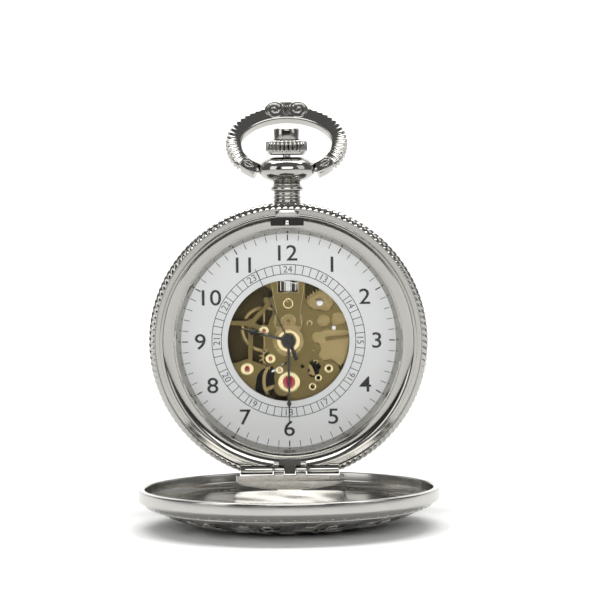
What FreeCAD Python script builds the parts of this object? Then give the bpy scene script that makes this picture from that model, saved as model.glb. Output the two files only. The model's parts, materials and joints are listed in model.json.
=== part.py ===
import FreeCAD, Part

import math
import os

# Hunter pocket watch, standing open on its front cover. Sizes are in millimetres.
#
# The case and the movement are drawn in the watch's own frame: x to 3 o'clock, y to
# 12 o'clock, z out of the dial, with z = 0 on the case's front seat. stand_up() then
# turns them about the cover's hinge. The cover is drawn where it lies, rim upwards,
# with the middle of its medallion at the origin.

# ---------------------------------------------------------------- driving dimensions

# case
case_radius = 23.5
band_back = -7.4
bore_radius = case_radius - 3.05
seat_depth = 0.8
groove_radius = case_radius - 1.1
edge_break = 0.2

# bezel, crystal and rehaut
bezel_radius = case_radius - 1.9
bezel_lip_width = 0.5
bezel_lip_top = 0.25
bezel_inner_radius = bore_radius - 1.15
bezel_inner_top = -0.45
crystal_thickness = 1.0
crystal_front = -0.5
crystal_clearance = 0.05
fitting_gap = 0.05
rehaut_top_radius = bezel_inner_radius - 0.3
rehaut_bottom_radius = rehaut_top_radius - 0.8

# dial
dial_front = -2.9
dial_thickness = 0.3
dial_radius = bore_radius - 0.65
window_radius = 10.3

# case back
back_rim_radius = case_radius - 0.3
back_face = -9.2
back_panel_radius = bore_radius - 2.25
back_panel_thickness = 0.6
back_window_radius = back_panel_radius - 1.2
back_lip = 0.3
back_flat_radius = back_panel_radius + 1.2

# cover
cover_height = 6.2
cover_wall = 1.1
cover_wall_height = 1.8
cover_floor = 1.0
medallion_radius = 8.0
closing_gap = 0.1
chord_wall_y = case_radius - 3.0
hinge_seat_depth = 0.6

# hinge at 6 o'clock
opening_angle = 85.0
hinge_from_centre = case_radius - 1.9
hinge_behind_seat = 0.3
chord_from_centre = hinge_from_centre + 0.17
knuckle_radius = 0.75
pin_radius = 0.25
hinge_half_length = 8.3
cover_knuckle_half_length = 2.7
spring_half_width = 0.9
running_clearance = 0.04
side_clearance = 0.1
spring_thickness = 0.35

# catch at 12 o'clock
catch_half_width = 1.85
catch_inner_y = case_radius - 2.1
catch_outer_y = case_radius - 1.25
catch_height = 1.0
catch_pivot_y = case_radius - 1.7
catch_pivot_z = -1.9
catch_pivot_radius = 0.2
bracket_half_width = 2.75
bracket_inner_y = case_radius - 3.85
bracket_outer_y = case_radius - 2.55

# pendant, crown and bow
stem_z = -5.5
ball_y = case_radius + 5.45
ball_half_width = 4.85
ball_half_height = 2.35
ball_flat_radius = 2.6
ball_core = 3.6
neck_radius = 2.2
collar_radius = 2.73
collar_y = case_radius + 2.35
pendant_bore = 1.0
tenon_radius = 1.6
crown_radius = 3.5
crown_bottom_y = ball_y + 2.4
crown_top_y = crown_bottom_y + 2.65
button_radius = 2.15
button_top_y = crown_top_y + 1.9
button_travel = 0.8
crown_pull = 1.0
rod_radius = 0.35
flute_count = 28
bow_lean = 32.0
bow_half_width = 10.4
bow_inner_half_width = 7.7
bow_centre = 4.9
bow_half_height = 7.4
bow_inner_half_height = 5.0
bow_depth = 1.9
bow_end_x = 5.1
bow_pin_radius = 0.55
volute_x = 1.9
volute_y = 11.5
volute_radius = 1.7

# movement plates
plate_radius = bore_radius - 4.65
plate_front = -4.0
plate_back = -5.0
bridge_front = -6.3
bridge_back = -6.9
train_bridge_front = -7.1
train_bridge_back = -7.9
foot_radius = 0.9
screw_radius = 0.55
screw_head_height = 0.25
pivot_radius = 0.12
jewel_radius = 0.65
balance_jewel_radius = 1.5
cap_jewel_radius = 0.9
cap_jewel_place = (-7.1, -4.85)
barrel_pivot_radius = 0.35
barrel_core_radius = 0.4
jewel_proud = 0.05

# wheel train: (teeth, module) of each mesh, and the directions the arbors lie in
centre_teeth, third_leaves, third_distance = 80, 10, 4.5
third_teeth, fourth_leaves = 75, 10
fourth_teeth, escape_leaves, escape_distance = 80, 8, 4.4
barrel_teeth, centre_leaves, barrel_distance = 72, 12, 7.98
third_direction = 158.0
escape_direction = 225.0
barrel_direction = 15.0
wheel_thickness = 0.12

# levels in the movement, each wheel by its two faces
barrel_back, barrel_front = -6.2, plate_back - 0.1
barrel_teeth_back, barrel_teeth_front = -6.15, -5.75
mainspring_back = -6.0
centre_wheel_back = -6.42
centre_pinion_back, centre_pinion_front = -6.3, -5.7
third_wheel_back = -6.67
third_pinion_back, third_pinion_front = -6.5, -6.22
fourth_wheel_back = -6.92
fourth_pinion_back, fourth_pinion_front = -6.81, -6.5
escape_pinion_back, escape_pinion_front = -6.97, -6.74
escape_wheel_back, escape_wheel_front = -5.38, -5.26
pallet_back, pallet_front = -5.42, -5.24
pallet_bridge_back, pallet_bridge_front = -5.72, -5.52
balance_back, balance_front = -6.2, -5.85
roller_back, roller_front = -5.65, -5.5
hairspring_back, hairspring_front = -6.5, -6.35
long_arbor_back = -7.05
cannon_back, cannon_leaves_front = -3.92, -3.58
cannon_shoulder = -2.6
minute_wheel_back, minute_wheel_front = -3.78, -3.62
hour_wheel_back, hour_wheel_front = -3.45, -3.3

# motion work
cannon_leaves, minute_teeth, minute_leaves, hour_teeth = 12, 36, 10, 40
motion_distance = 3.36
setting_teeth = 16
motion_post_radius = 0.3

# escapement and balance
escape_tip_radius = 2.0
escape_root_radius = 1.45
escape_count = 15
pallet_from_escape = 2.5
pallet_swing_clearance = 0.16
balance_x, balance_y = 0.0, -7.2
balance_radius = 4.6
balance_rim = 0.55
impulse_circle = 0.55
hairspring_radius = 2.3

# winding work
winding_radius = 1.45
winding_low_y, winding_high_y = 8.4, 10.0
clutch_radius = 0.85
clutch_low_y, clutch_high_y = 6.2, 8.2
clutch_travel = 0.8
crown_wheel_x, crown_wheel_y = 1.6, 7.0
crown_wheel_radius = 3.0
crown_wheel_teeth = 30
winding_wheels_front = -7.0
winding_wheels_back = -7.25
crown_core_radius = 0.5
click_post_radius = 0.2
stem_radius = 0.45
stem_groove_radius = 0.3
stem_groove_y = 11.6
stem_tube_radius = stem_radius + 0.25
stem_tube_y = case_radius + 1.1
square_half = 0.28
square_low_y = 5.0
collet_low_y, collet_high_y = case_radius + 2.9, case_radius + 4.7
lever_x = 3.0
yoke_x = -3.6
keyless_post_radius = 0.2

# hands
hour_pipe, cannon_pipe, centre_pipe, seconds_arbor = 0.72, 0.52, 0.32, 0.14
hand_hub_radius = 1.15
hour_hand_length = 8.5
minute_hand_length = 13.8
seconds_hand_length = 13.5
seconds_tail_length = 3.4
hand_thickness = 0.15
hour_hand_front = -2.5
minute_hand_front = -2.12
seconds_hand_front = -1.75
shown_hour, shown_minute, shown_second = 9, 30, 56

# ---------------------------------------------------------------- derived dimensions

crystal_back = crystal_front - crystal_thickness
dial_back = dial_front - dial_thickness
closed_lean = 90.0 - opening_angle
notch_half = hinge_half_length + side_clearance
notch_inner = hinge_from_centre - knuckle_radius - side_clearance
cover_inner_radius = case_radius - cover_wall
hinge_height = cover_height + hinge_behind_seat


def polar(radius, degrees, x=0.0, y=0.0):
    """The point at a radius and direction from (x, y)."""
    angle = math.radians(degrees)
    return (x + radius * math.cos(angle), y + radius * math.sin(angle))


third_x, third_y = polar(third_distance, third_direction)
escape_x, escape_y = polar(escape_distance, escape_direction)
barrel_x, barrel_y = polar(barrel_distance, barrel_direction)
minute_x, minute_y = 0.0, motion_distance
motion_module = 2 * motion_distance / (cannon_leaves + minute_teeth)
hour_module = 2 * motion_distance / (minute_leaves + hour_teeth)
setting_x = 0.0
setting_y = motion_distance + motion_module * (minute_teeth + setting_teeth) / 2
centre_module = 2 * third_distance / (centre_teeth + third_leaves)
third_module = 2 * third_distance / (third_teeth + fourth_leaves)
fourth_module = 2 * escape_distance / (fourth_teeth + escape_leaves)
barrel_module = 2 * barrel_distance / (barrel_teeth + centre_leaves)
balance_direction = math.degrees(math.atan2(balance_y - escape_y, balance_x - escape_x))
pallet_x, pallet_y = polar(pallet_from_escape, balance_direction, escape_x, escape_y)
winding_distance = math.hypot(barrel_x - crown_wheel_x, barrel_y - crown_wheel_y)
winding_module = 2 * crown_wheel_radius / crown_wheel_teeth
ratchet_teeth = round(2 * (winding_distance - crown_wheel_radius) / winding_module)
ratchet_module = 2 * (winding_distance - crown_wheel_radius) / ratchet_teeth
drum_radius = barrel_module * barrel_teeth / 2 - 0.45
clutch_middle = (clutch_low_y + clutch_high_y) / 2
lever_y = stem_groove_y + crown_pull / 2
yoke_y = clutch_middle - clutch_travel / 2

# ---------------------------------------------------------------- shape helpers

UP = FreeCAD.Vector(0, 0, 1)


def vec(x, y, z=0.0):
    return FreeCAD.Vector(x, y, z)


def disc(radius, low, high, x=0.0, y=0.0):
    """A cylinder along z between two levels."""
    return Part.makeCylinder(radius, high - low, vec(x, y, low), UP)


def tube(outer, inner, low, high, x=0.0, y=0.0):
    return disc(outer, low, high, x, y).cut(disc(inner, low, high, x, y))


def rod_along_y(radius, low, high, x=0.0, z=stem_z):
    return Part.makeCylinder(radius, high - low, vec(x, low, z), vec(0, 1, 0))


def rod_along_x(radius, low, high, y, z):
    return Part.makeCylinder(radius, high - low, vec(low, y, z), vec(1, 0, 0))


def block(x_low, x_high, y_low, y_high, z_low, z_high):
    size = (x_high - x_low, y_high - y_low, z_high - z_low)
    return Part.makeBox(*size, vec(x_low, y_low, z_low))


def outline(points, level=0.0):
    """A closed wire through plan points. Four numbers are an arc: its middle, then its end."""
    corners = [p if len(p) == 2 else p[2:] for p in points]
    edges = []
    for i, point in enumerate(points):
        start = vec(*corners[i - 1], level)
        end = vec(*corners[i], level)
        if len(point) == 4:
            edges.append(Part.Arc(start, vec(point[0], point[1], level), end).toShape())
        else:
            edges.append(Part.LineSegment(start, end).toShape())
    return Part.Wire(edges)


def prism(points, low, high):
    face = Part.Face(outline(points, low))
    return face.extrude(vec(0, 0, high - low))


def turned(points):
    """A solid of revolution about z, from (radius, z) points."""
    wire = outline(points)
    wire.rotate(vec(0, 0, 0), vec(1, 0, 0), 90)
    return Part.Face(wire).revolve(vec(0, 0, 0), UP, 360)


def turned_about_stem(points):
    """A solid of revolution about the stem's axis, from (radius, y) points."""
    solid = Part.Face(outline(points)).revolve(vec(0, 0, 0), vec(0, 1, 0), 360)
    solid.translate(vec(0, 0, stem_z))
    return solid


def bar(x1, y1, x2, y2, width_1, width_2, low, high):
    """A straight bar whose half width runs from width_1 to width_2."""
    length = math.hypot(x2 - x1, y2 - y1)
    nx, ny = -(y2 - y1) / length, (x2 - x1) / length
    points = [
        (x1 + nx * width_1, y1 + ny * width_1),
        (x2 + nx * width_2, y2 + ny * width_2),
        (x2 - nx * width_2, y2 - ny * width_2),
        (x1 - nx * width_1, y1 - ny * width_1),
    ]
    return prism(points, low, high)


def gear_points(teeth, module, phase, x, y, tooth=0.40):
    """Plan points of straight-sided teeth. The first tooth's middle lies in the direction phase."""
    radius = teeth * module / 2
    tip, root = radius + 0.85 * module, radius - 1.1 * module
    pitch = 360.0 / teeth
    points = []
    for i in range(teeth):
        middle = phase + i * pitch
        points.append(polar(root, middle - 0.72 * tooth * pitch, x, y))
        points.append(polar(tip, middle - 0.22 * tooth * pitch, x, y))
        points.append(polar(tip, middle + 0.22 * tooth * pitch, x, y))
        points.append(polar(root, middle + 0.72 * tooth * pitch, x, y))
    return points


def gear(teeth, module, phase, low, high, x=0.0, y=0.0, bore=0.0, spokes=0, hub=0.0, rim=0.4, arm=0.3):
    """A toothed wheel with a bore, and crossed out into spokes if it has any."""
    wires = [outline(gear_points(teeth, module, phase, x, y), low)]
    if bore:
        wires.append(Part.Wire(Part.Circle(vec(x, y, low), UP, bore).toShape()))
    if spokes:
        outer = teeth * module / 2 - 1.1 * module - rim
        wires += spoke_windows(spokes, hub, outer, arm, x, y, low, phase)
    return Part.Face(wires, "Part::FaceMakerBullseye").extrude(vec(0, 0, high - low))


def spoke_windows(count, hub, outer, arm, x, y, level, turn):
    """The openings between the arms of a crossed-out wheel."""
    windows = []
    for i in range(count):
        low = turn + i * 360.0 / count
        high = low + 360.0 / count
        inner_gap = math.degrees(math.asin(arm / 2 / hub))
        outer_gap = math.degrees(math.asin(arm / 2 / outer))
        middle = (low + high) / 2
        windows.append(outline([
            polar(hub, high - inner_gap, x, y),
            (*polar(hub, middle, x, y), *polar(hub, low + inner_gap, x, y)),
            polar(outer, low + outer_gap, x, y),
            (*polar(outer, middle, x, y), *polar(outer, high - outer_gap, x, y)),
        ], level))
    return windows


def meshed_phase(teeth_a, phase_a, direction, teeth_b):
    """The phase of wheel b that puts its gaps on wheel a's teeth, with b in the given direction from a."""
    share = ((direction - phase_a) * teeth_a / 360.0) % 1.0
    return direction + 180.0 + (share + 0.5) * 360.0 / teeth_b


def spiral(inner, outer, turns, thickness, low, high, x, y):
    """A flat coiled spring of even pitch."""
    steps = int(turns * 12)
    inside, outside = [], []
    for i in range(steps + 1):
        radius = inner + (outer - inner) * i / steps
        angle = 360.0 * turns * i / steps
        inside.append(vec(*polar(radius - thickness / 2, angle, x, y), low))
        outside.append(vec(*polar(radius + thickness / 2, angle, x, y), low))
    edges = []
    for row in (inside, outside):
        curve = Part.BSplineCurve()
        curve.interpolate(row)
        edges.append(curve.toShape())
    ends = [Part.LineSegment(inside[n], outside[n]).toShape() for n in (0, -1)]
    face = Part.Face(Part.Wire(Part.__sortEdges__(edges + ends)))
    return face.extrude(vec(0, 0, high - low))


def one_solid(shapes):
    """Pieces of one sub-part joined into a single solid."""
    joined = shapes[0].fuse(shapes[1:]) if len(shapes) > 1 else shapes[0]
    return joined.removeSplitter()


def stand_up(shape):
    """From the watch's own frame to where it stands on its open cover."""
    shape = shape.copy()
    shape.translate(vec(0, hinge_from_centre, hinge_behind_seat))
    shape.rotate(vec(0, 0, 0), vec(1, 0, 0), 90.0 + closed_lean)
    shape.translate(vec(0, hinge_from_centre, hinge_height))
    return shape


parts = {}


# ---------------------------------------------------------------- case

def hinge_notch(height):
    """The seat cut across the front of the case for the hinge barrel."""
    low = -hinge_behind_seat - knuckle_radius - side_clearance
    return block(-notch_half, notch_half, -case_radius - 1, -notch_inner, low, height)


def chord_cut(low, high):
    return block(-case_radius, case_radius, -case_radius - 1, -chord_from_centre, low, high)


def catch_pocket():
    """The slot in which the catch rocks, with the bores of its pivot."""
    room = catch_half_width + side_clearance
    slot = block(-room, room, bracket_outer_y, catch_outer_y + side_clearance,
                 catch_pivot_z - 0.5, catch_height)
    pivot = rod_along_x(catch_pivot_radius + running_clearance, -room - 0.5, room + 0.5,
                        catch_pivot_y, catch_pivot_z)
    return slot.fuse(pivot)


def bracket_slot():
    return block(-bracket_half_width, bracket_half_width, bracket_inner_y, bracket_outer_y + 0.01,
                 bezel_inner_top, bezel_lip_top + 1)


def case_middle():
    body = turned([
        (bore_radius, -seat_depth), (groove_radius, -seat_depth), (groove_radius, 0),
        (case_radius - edge_break, 0), (case_radius, -edge_break),
        (case_radius, band_back + edge_break), (case_radius - edge_break, band_back),
        (bore_radius, band_back),
    ])
    stem_hole = rod_along_y(tenon_radius, bore_radius - 1, case_radius + 1)
    body = body.cut(chord_cut(band_back, 0)).cut(stem_hole)
    return body.cut(hinge_notch(1)).cut(catch_pocket())


def bezel():
    lip_inner = bezel_radius - bezel_lip_width
    body = turned([
        (bezel_inner_radius, crystal_back), (bore_radius - fitting_gap, crystal_back),
        (bore_radius - fitting_gap, -seat_depth), (bezel_radius, -seat_depth),
        (bezel_radius, bezel_lip_top - 0.15), (bezel_radius - 0.15, bezel_lip_top),
        (lip_inner, bezel_lip_top),
        (bore_radius - 0.15, bezel_inner_top + 0.2, bezel_inner_radius, bezel_inner_top),
    ])
    spring_slot = block(-bracket_half_width, bracket_half_width, -case_radius, -bracket_inner_y,
                        -spring_thickness, bezel_lip_top + 1)
    return body.cut(hinge_notch(1)).cut(bracket_slot()).cut(catch_pocket()).cut(spring_slot)


def rehaut():
    """The polished conical wall that rises from the dial to the crystal."""
    return turned([
        (rehaut_bottom_radius, dial_front), (bore_radius - fitting_gap, dial_front),
        (bore_radius - fitting_gap, crystal_back), (rehaut_top_radius, crystal_back),
    ])


def crystal():
    return disc(bezel_inner_radius - crystal_clearance, crystal_back, crystal_front)


def dial():
    return tube(dial_radius, window_radius, dial_back, dial_front)


def movement_ring():
    """Holds the movement in the case. The plate stands in its bore and the dial lies on it."""
    body = tube(bore_radius - fitting_gap, plate_radius, train_bridge_front, dial_back)
    return body.cut(rod_along_y(pendant_bore - 0.2, plate_radius - 1, bore_radius + 1))


def back_bezel():
    inner = bore_radius - 0.25
    panel_front = back_face + back_lip + back_panel_thickness
    return turned([
        (inner, band_back), (back_rim_radius, band_back), (back_rim_radius, band_back - 0.4),
        (case_radius - 1.6, back_face + 0.5, back_flat_radius, back_face), (back_window_radius, back_face),
        (back_window_radius, back_face + back_lip), (back_panel_radius, back_face + back_lip),
        (back_panel_radius, panel_front), (inner, panel_front),
    ])


def back_panel():
    """The solid back, held by its rim."""
    low = back_face + back_lip
    return disc(back_panel_radius - crystal_clearance, low, low + back_panel_thickness)


def case_hinge_knuckles():
    """Two knuckles soldered in the case's notch, carrying the pin."""
    low = -hinge_behind_seat - knuckle_radius - side_clearance
    pieces = []
    for side in (-1, 1):
        ends = sorted((side * (cover_knuckle_half_length + 0.2), side * hinge_half_length))
        barrel = rod_along_x(knuckle_radius, *ends, -hinge_from_centre, -hinge_behind_seat)
        web = block(*ends, -hinge_from_centre, -notch_inner, low, -hinge_behind_seat)
        pin = rod_along_x(pin_radius, *ends, -hinge_from_centre, -hinge_behind_seat)
        pieces.append(barrel.fuse(web).cut(pin))
    return Part.makeCompound(pieces)


def hinge_pin():
    return rod_along_x(pin_radius, -hinge_half_length, hinge_half_length,
                       -hinge_from_centre, -hinge_behind_seat)


def lift_spring():
    """The steel tab that lifts the cover when the catch lets go."""
    head = block(-catch_half_width, catch_half_width, -notch_inner, -bracket_inner_y - fitting_gap,
                 -spring_thickness, spring_thickness)
    tab = block(-spring_half_width, spring_half_width, -hinge_from_centre - 0.6, -notch_inner,
                pin_radius - hinge_behind_seat + 0.08, spring_thickness)
    return one_solid([head, tab])


def catch_bracket():
    body = block(-bracket_half_width, bracket_half_width, bracket_inner_y, bracket_outer_y,
                 bezel_inner_top, bezel_lip_top)
    slot = block(-0.45, 0.45, bracket_inner_y, bracket_outer_y - 0.4, bezel_inner_top + 0.2, 1)
    return body.cut(slot)


def catch():
    hook = prism([
        (-catch_half_width, catch_inner_y), (catch_half_width, catch_inner_y),
        (catch_half_width * 0.6, catch_outer_y), (-catch_half_width * 0.6, catch_outer_y),
    ], catch_pivot_z, catch_height - side_clearance)
    pivot = rod_along_x(catch_pivot_radius, -catch_half_width - 0.5, catch_half_width + 0.5,
                        catch_pivot_y, catch_pivot_z)
    return one_solid([hook, pivot])


def pendant():
    """Neck, collar and ball, screwed into the case over the stem."""
    low, bead_y = case_radius - 1.5, case_radius + 0.9
    body = turned_about_stem([
        (pendant_bore, low), (neck_radius, low), (neck_radius, bead_y - 0.2),
        (neck_radius + 0.15, bead_y, neck_radius, bead_y + 0.2), (neck_radius, collar_y - 0.55),
        (collar_radius, collar_y, neck_radius + 0.1, collar_y + 0.5),
        (ball_flat_radius, ball_y - ball_half_height + 0.15),
        (ball_half_width, ball_y, ball_flat_radius, ball_y + ball_half_height - 0.15),
        (pendant_bore, ball_y + ball_half_height - 0.05),
    ])
    body = body.cut(disc(case_radius, band_back - 5, 1))
    tenon = turned_about_stem([
        (pendant_bore, bore_radius), (tenon_radius, bore_radius),
        (tenon_radius, case_radius + 0.3), (pendant_bore, case_radius + 0.3),
    ])
    sockets = rod_along_x(bow_pin_radius + running_clearance, -ball_half_width - 1,
                          ball_half_width + 1, ball_y, stem_z)
    bore = rod_along_y(pendant_bore, bore_radius, ball_y + 5)
    sockets = sockets.cut(block(-ball_core, ball_core, ball_y - 2, ball_y + 2, stem_z - 2, stem_z + 2))
    return one_solid([body, tenon]).cut(sockets).cut(bore)


def bow():
    """The oval ring for the chain, leaning back about its pins."""
    low, high = -bow_depth / 2, bow_depth / 2
    centre = vec(0, bow_centre, low)

    def oval(half_width, half_height):
        ellipse = Part.Ellipse(centre, half_width, half_height)
        return Part.Face(Part.Wire(ellipse.toShape())).extrude(vec(0, 0, high - low))

    ring = oval(bow_half_width, bow_half_height)
    volutes = [disc(volute_radius, low, high, side * volute_x, volute_y) for side in (-1, 1)]
    ring = ring.fuse(volutes).cut(oval(bow_inner_half_width, bow_inner_half_height))
    ring = ring.cut(block(-bow_end_x, bow_end_x, -5, bow_centre, low, high))
    pins = [
        rod_along_x(bow_pin_radius, *sorted((side * (ball_core + 0.2), side * (bow_end_x + 0.4))), 0, 0)
        for side in (-1, 1)
    ]
    ring = one_solid([ring] + pins)
    ring.rotate(vec(0, 0, 0), vec(1, 0, 0), -bow_lean)
    ring.translate(vec(0, ball_y, stem_z))
    return ring


parts["case_middle"] = stand_up(case_middle())
parts["bezel"] = stand_up(bezel())
parts["rehaut"] = stand_up(rehaut())
parts["crystal"] = stand_up(crystal())
parts["dial"] = stand_up(dial())
parts["movement_ring"] = stand_up(movement_ring())
parts["back_bezel"] = stand_up(back_bezel())
parts["back_panel"] = stand_up(back_panel())
parts["case_hinge_knuckles"] = stand_up(case_hinge_knuckles())
parts["hinge_pin"] = stand_up(hinge_pin())
parts["lift_spring"] = stand_up(lift_spring())
parts["catch_bracket"] = stand_up(catch_bracket())
parts["catch"] = stand_up(catch())
parts["pendant"] = stand_up(pendant())
parts["bow"] = stand_up(bow())


# ---------------------------------------------------------------- cover

def cover_points():
    """Half section of the cover: outside from the medallion up, then inside back down."""
    rim = cover_height - closing_gap
    dish_radius, dish_rise = cover_inner_radius - 1.8, rim - 2.8 - cover_floor
    sphere = (dish_radius ** 2 + dish_rise ** 2) / (2 * dish_rise)
    half_way = cover_floor + sphere - math.sqrt(sphere ** 2 - dish_radius ** 2 / 4)
    dome_run = case_radius - 0.2 - medallion_radius
    dome_rise = cover_height - cover_wall_height - 0.2
    dome = (dome_run ** 2 + dome_rise ** 2) / (2 * dome_rise)
    dome_half_way = dome - math.sqrt(dome ** 2 - dome_run ** 2 / 4)
    return [
        (0, 0), (medallion_radius, 0),
        (medallion_radius + dome_run / 2, dome_half_way, medallion_radius + dome_run, dome_rise),
        (case_radius, cover_height - cover_wall_height + 0.1), (case_radius, rim),
        (cover_inner_radius, rim), (cover_inner_radius, rim - 1.45),
        (cover_inner_radius - 0.5, rim - 2.1, dish_radius, cover_floor + dish_rise),
        (dish_radius / 2, half_way, 0, cover_floor),
    ]


def chord_wall():
    """The flat inner wall along the hinge."""
    wall = block(-case_radius, case_radius, chord_wall_y, case_radius, cover_floor,
                 cover_height - hinge_seat_depth)
    outside = cover_points()[:5] + [(0, cover_height - closing_gap)]
    return wall.common(turned(outside))


def front_cover():
    body = turned(cover_points()).fuse(chord_wall()).removeSplitter()
    low = cover_height - hinge_seat_depth
    seat = block(-notch_half, notch_half, notch_inner - 0.1, case_radius + 1, low, cover_height)
    chord = block(-case_radius, case_radius, chord_from_centre, case_radius + 1, -1, cover_height)
    return body.cut(chord).cut(seat)


def cover_hinge_knuckles():
    """Two knuckles on the cover's notch, either side of the lift spring."""
    low = cover_height - hinge_seat_depth
    pieces = []
    for side in (-1, 1):
        ends = sorted((side * (spring_half_width + side_clearance), side * cover_knuckle_half_length))
        barrel = rod_along_x(knuckle_radius, *ends, hinge_from_centre, hinge_height)
        web = block(*ends, hinge_from_centre - 0.7, chord_from_centre, low, hinge_height - 0.3)
        bore = rod_along_x(pin_radius + running_clearance, *ends, hinge_from_centre, hinge_height)
        pieces.append(barrel.fuse(web).cut(bore))
    return Part.makeCompound(pieces)


parts["front_cover"] = front_cover()
parts["cover_hinge_knuckles"] = cover_hinge_knuckles()


# ---------------------------------------------------------------- crown and stem

def crown():
    """The fluted winding crown, hollow for the push-piece."""
    body = turned_about_stem([
        (stem_radius, crown_bottom_y), (crown_radius - 0.9, crown_bottom_y),
        (crown_radius - 0.15, crown_bottom_y + 0.5), (crown_radius - 0.15, crown_top_y - 0.5),
        (button_radius + 0.2, crown_top_y), (stem_radius, crown_top_y),
    ])
    flutes = []
    for i in range(flute_count):
        x, z = polar(crown_radius - 0.15, 360.0 * i / flute_count)
        flutes.append(rod_along_y(0.22, crown_bottom_y + 0.7, crown_top_y - 0.6, x, stem_z + z))
    well = rod_along_y(button_radius + running_clearance, crown_top_y - button_travel - 0.3,
                       crown_top_y)
    bore = rod_along_y(rod_radius + running_clearance, crown_bottom_y, crown_top_y)
    return body.fuse(flutes).removeSplitter().cut(well).cut(bore)


def stem():
    """The winding stem: a tube at the crown, a groove for the setting lever, a square and a pivot."""
    body = rod_along_y(stem_tube_radius, stem_tube_y, crown_bottom_y)
    shank = rod_along_y(stem_radius, clutch_high_y, stem_tube_y)
    square = block(-square_half, square_half, square_low_y, clutch_high_y,
                   stem_z - square_half, stem_z + square_half)
    pivot = rod_along_y(0.2, square_low_y - 0.6, square_low_y)
    groove = rod_along_y(1, stem_groove_y - 0.3, stem_groove_y + 0.3).cut(
        rod_along_y(stem_groove_radius, stem_groove_y - 0.3, stem_groove_y + 0.3))
    bore = rod_along_y(rod_radius + running_clearance, stem_tube_y + 0.6, crown_bottom_y)
    return one_solid([body, shank, square, pivot]).cut(groove).cut(bore)


def stem_collet():
    """The split collar in the pendant that clicks between winding and setting."""
    outer, inner = pendant_bore - running_clearance, stem_tube_radius + running_clearance
    low, high = collet_low_y, collet_high_y
    collar = rod_along_y(outer, low, high).cut(rod_along_y(inner, low, high))
    return collar.cut(block(-0.12, 0.12, low, high, stem_z, stem_z + 2))


def release_button():
    """The smooth push-piece on the crown, with its rod."""
    low = crown_top_y + 0.02
    cap = turned_about_stem([
        (0, low), (button_radius, low), (button_radius, button_top_y - 0.45),
        (button_radius - 0.15, button_top_y - 0.12, button_radius - 0.5, button_top_y),
        (0, button_top_y),
    ])
    rod = rod_along_y(rod_radius, stem_tube_y + 1.6, low)
    return one_solid([cap, rod])


def winding_pinion():
    """Rides on the stem below the crown wheel's rim."""
    module = winding_radius * 2 / 17.7
    leaves = gear(16, module, 0, 0, winding_high_y - winding_low_y, bore=stem_radius + running_clearance)
    leaves.rotate(vec(0, 0, 0), vec(1, 0, 0), -90)
    leaves.translate(vec(0, winding_low_y, stem_z))
    return leaves


def sliding_pinion():
    """The clutch on the stem's square, grooved for the yoke."""
    body = rod_along_y(clutch_radius, clutch_low_y, clutch_high_y)
    groove = rod_along_y(clutch_radius, clutch_middle - 0.3, clutch_middle + 0.3).cut(
        rod_along_y(clutch_radius - 0.3, clutch_middle - 0.3, clutch_middle + 0.3))
    room = square_half + running_clearance
    square = block(-room, room, clutch_low_y, clutch_high_y, stem_z - room, stem_z + room)
    teeth = []
    for i in range(6):
        tooth = block(-0.1, 0.1, clutch_low_y, clutch_low_y + 0.3, stem_z + 0.5, stem_z + 1)
        tooth.rotate(vec(0, 0, stem_z), vec(0, 1, 0), 60 * i)
        teeth.append(tooth)
    return body.cut(groove).cut(square).cut(Part.makeCompound(teeth))


parts["crown"] = stand_up(crown())
parts["stem"] = stand_up(stem())
parts["stem_collet"] = stand_up(stem_collet())
parts["release_button"] = stand_up(release_button())
parts["winding_pinion"] = stand_up(winding_pinion())
parts["sliding_pinion"] = stand_up(sliding_pinion())


# ---------------------------------------------------------------- movement plates

jewels_in_plate = [
    (third_x, third_y, jewel_radius), (escape_x, escape_y, jewel_radius),
    (pallet_x, pallet_y, 0.45), (balance_x, balance_y, balance_jewel_radius),
    (*cap_jewel_place, cap_jewel_radius),
]
foot_places = {
    "barrel": [polar(14.3, 78), polar(14.3, 56), polar(14.2, 322)],
    "train": [polar(14.2, 112), polar(14.2, 156), polar(14.2, 202)],
    "balance": [polar(13.7, 257)],
    "pallet": [polar(2.33, 25.5, pallet_x, pallet_y), polar(3.2, 350, pallet_x, pallet_y)],
}


def left_window():
    """Beside the third wheel, split by two slender arms."""
    opening = prism([
        (-2.6, 8.3), (-5.2, 9.6, -8.4, 7.6), (-10.2, 4.0, -11.3, -0.6),
        (-10.9, -2.9, -9.6, -3.9), (-8.4, -3.6, -7.3, -3.1), (-5.0, -3.9, -3.7, -4.4),
        (-2.5, -3.8, -2.4, -2.7), (-3.9, -1.2, -3.5, 1.3), (-3.4, 2.9, -2.7, 4.3), (-2.7, 6.2),
    ], plate_back, plate_front)
    arms = [
        bar(-2.2, 7.4, -6.4, 2.9, 0.32, 0.42, plate_back, plate_front),
        bar(-6.4, 2.9, -12.0, 3.2, 0.42, 0.32, plate_back, plate_front),
        bar(-6.4, 2.9, -6.6, -4.2, 0.42, 0.34, plate_back, plate_front),
        disc(0.95, plate_back, plate_front, third_x, third_y),
        bar(third_x, third_y, -6.4, 2.9, 0.45, 0.45, plate_back, plate_front),
        disc(0.75, plate_back, plate_front, -6.4, 2.9),
    ]
    return opening.cut(arms)


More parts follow.
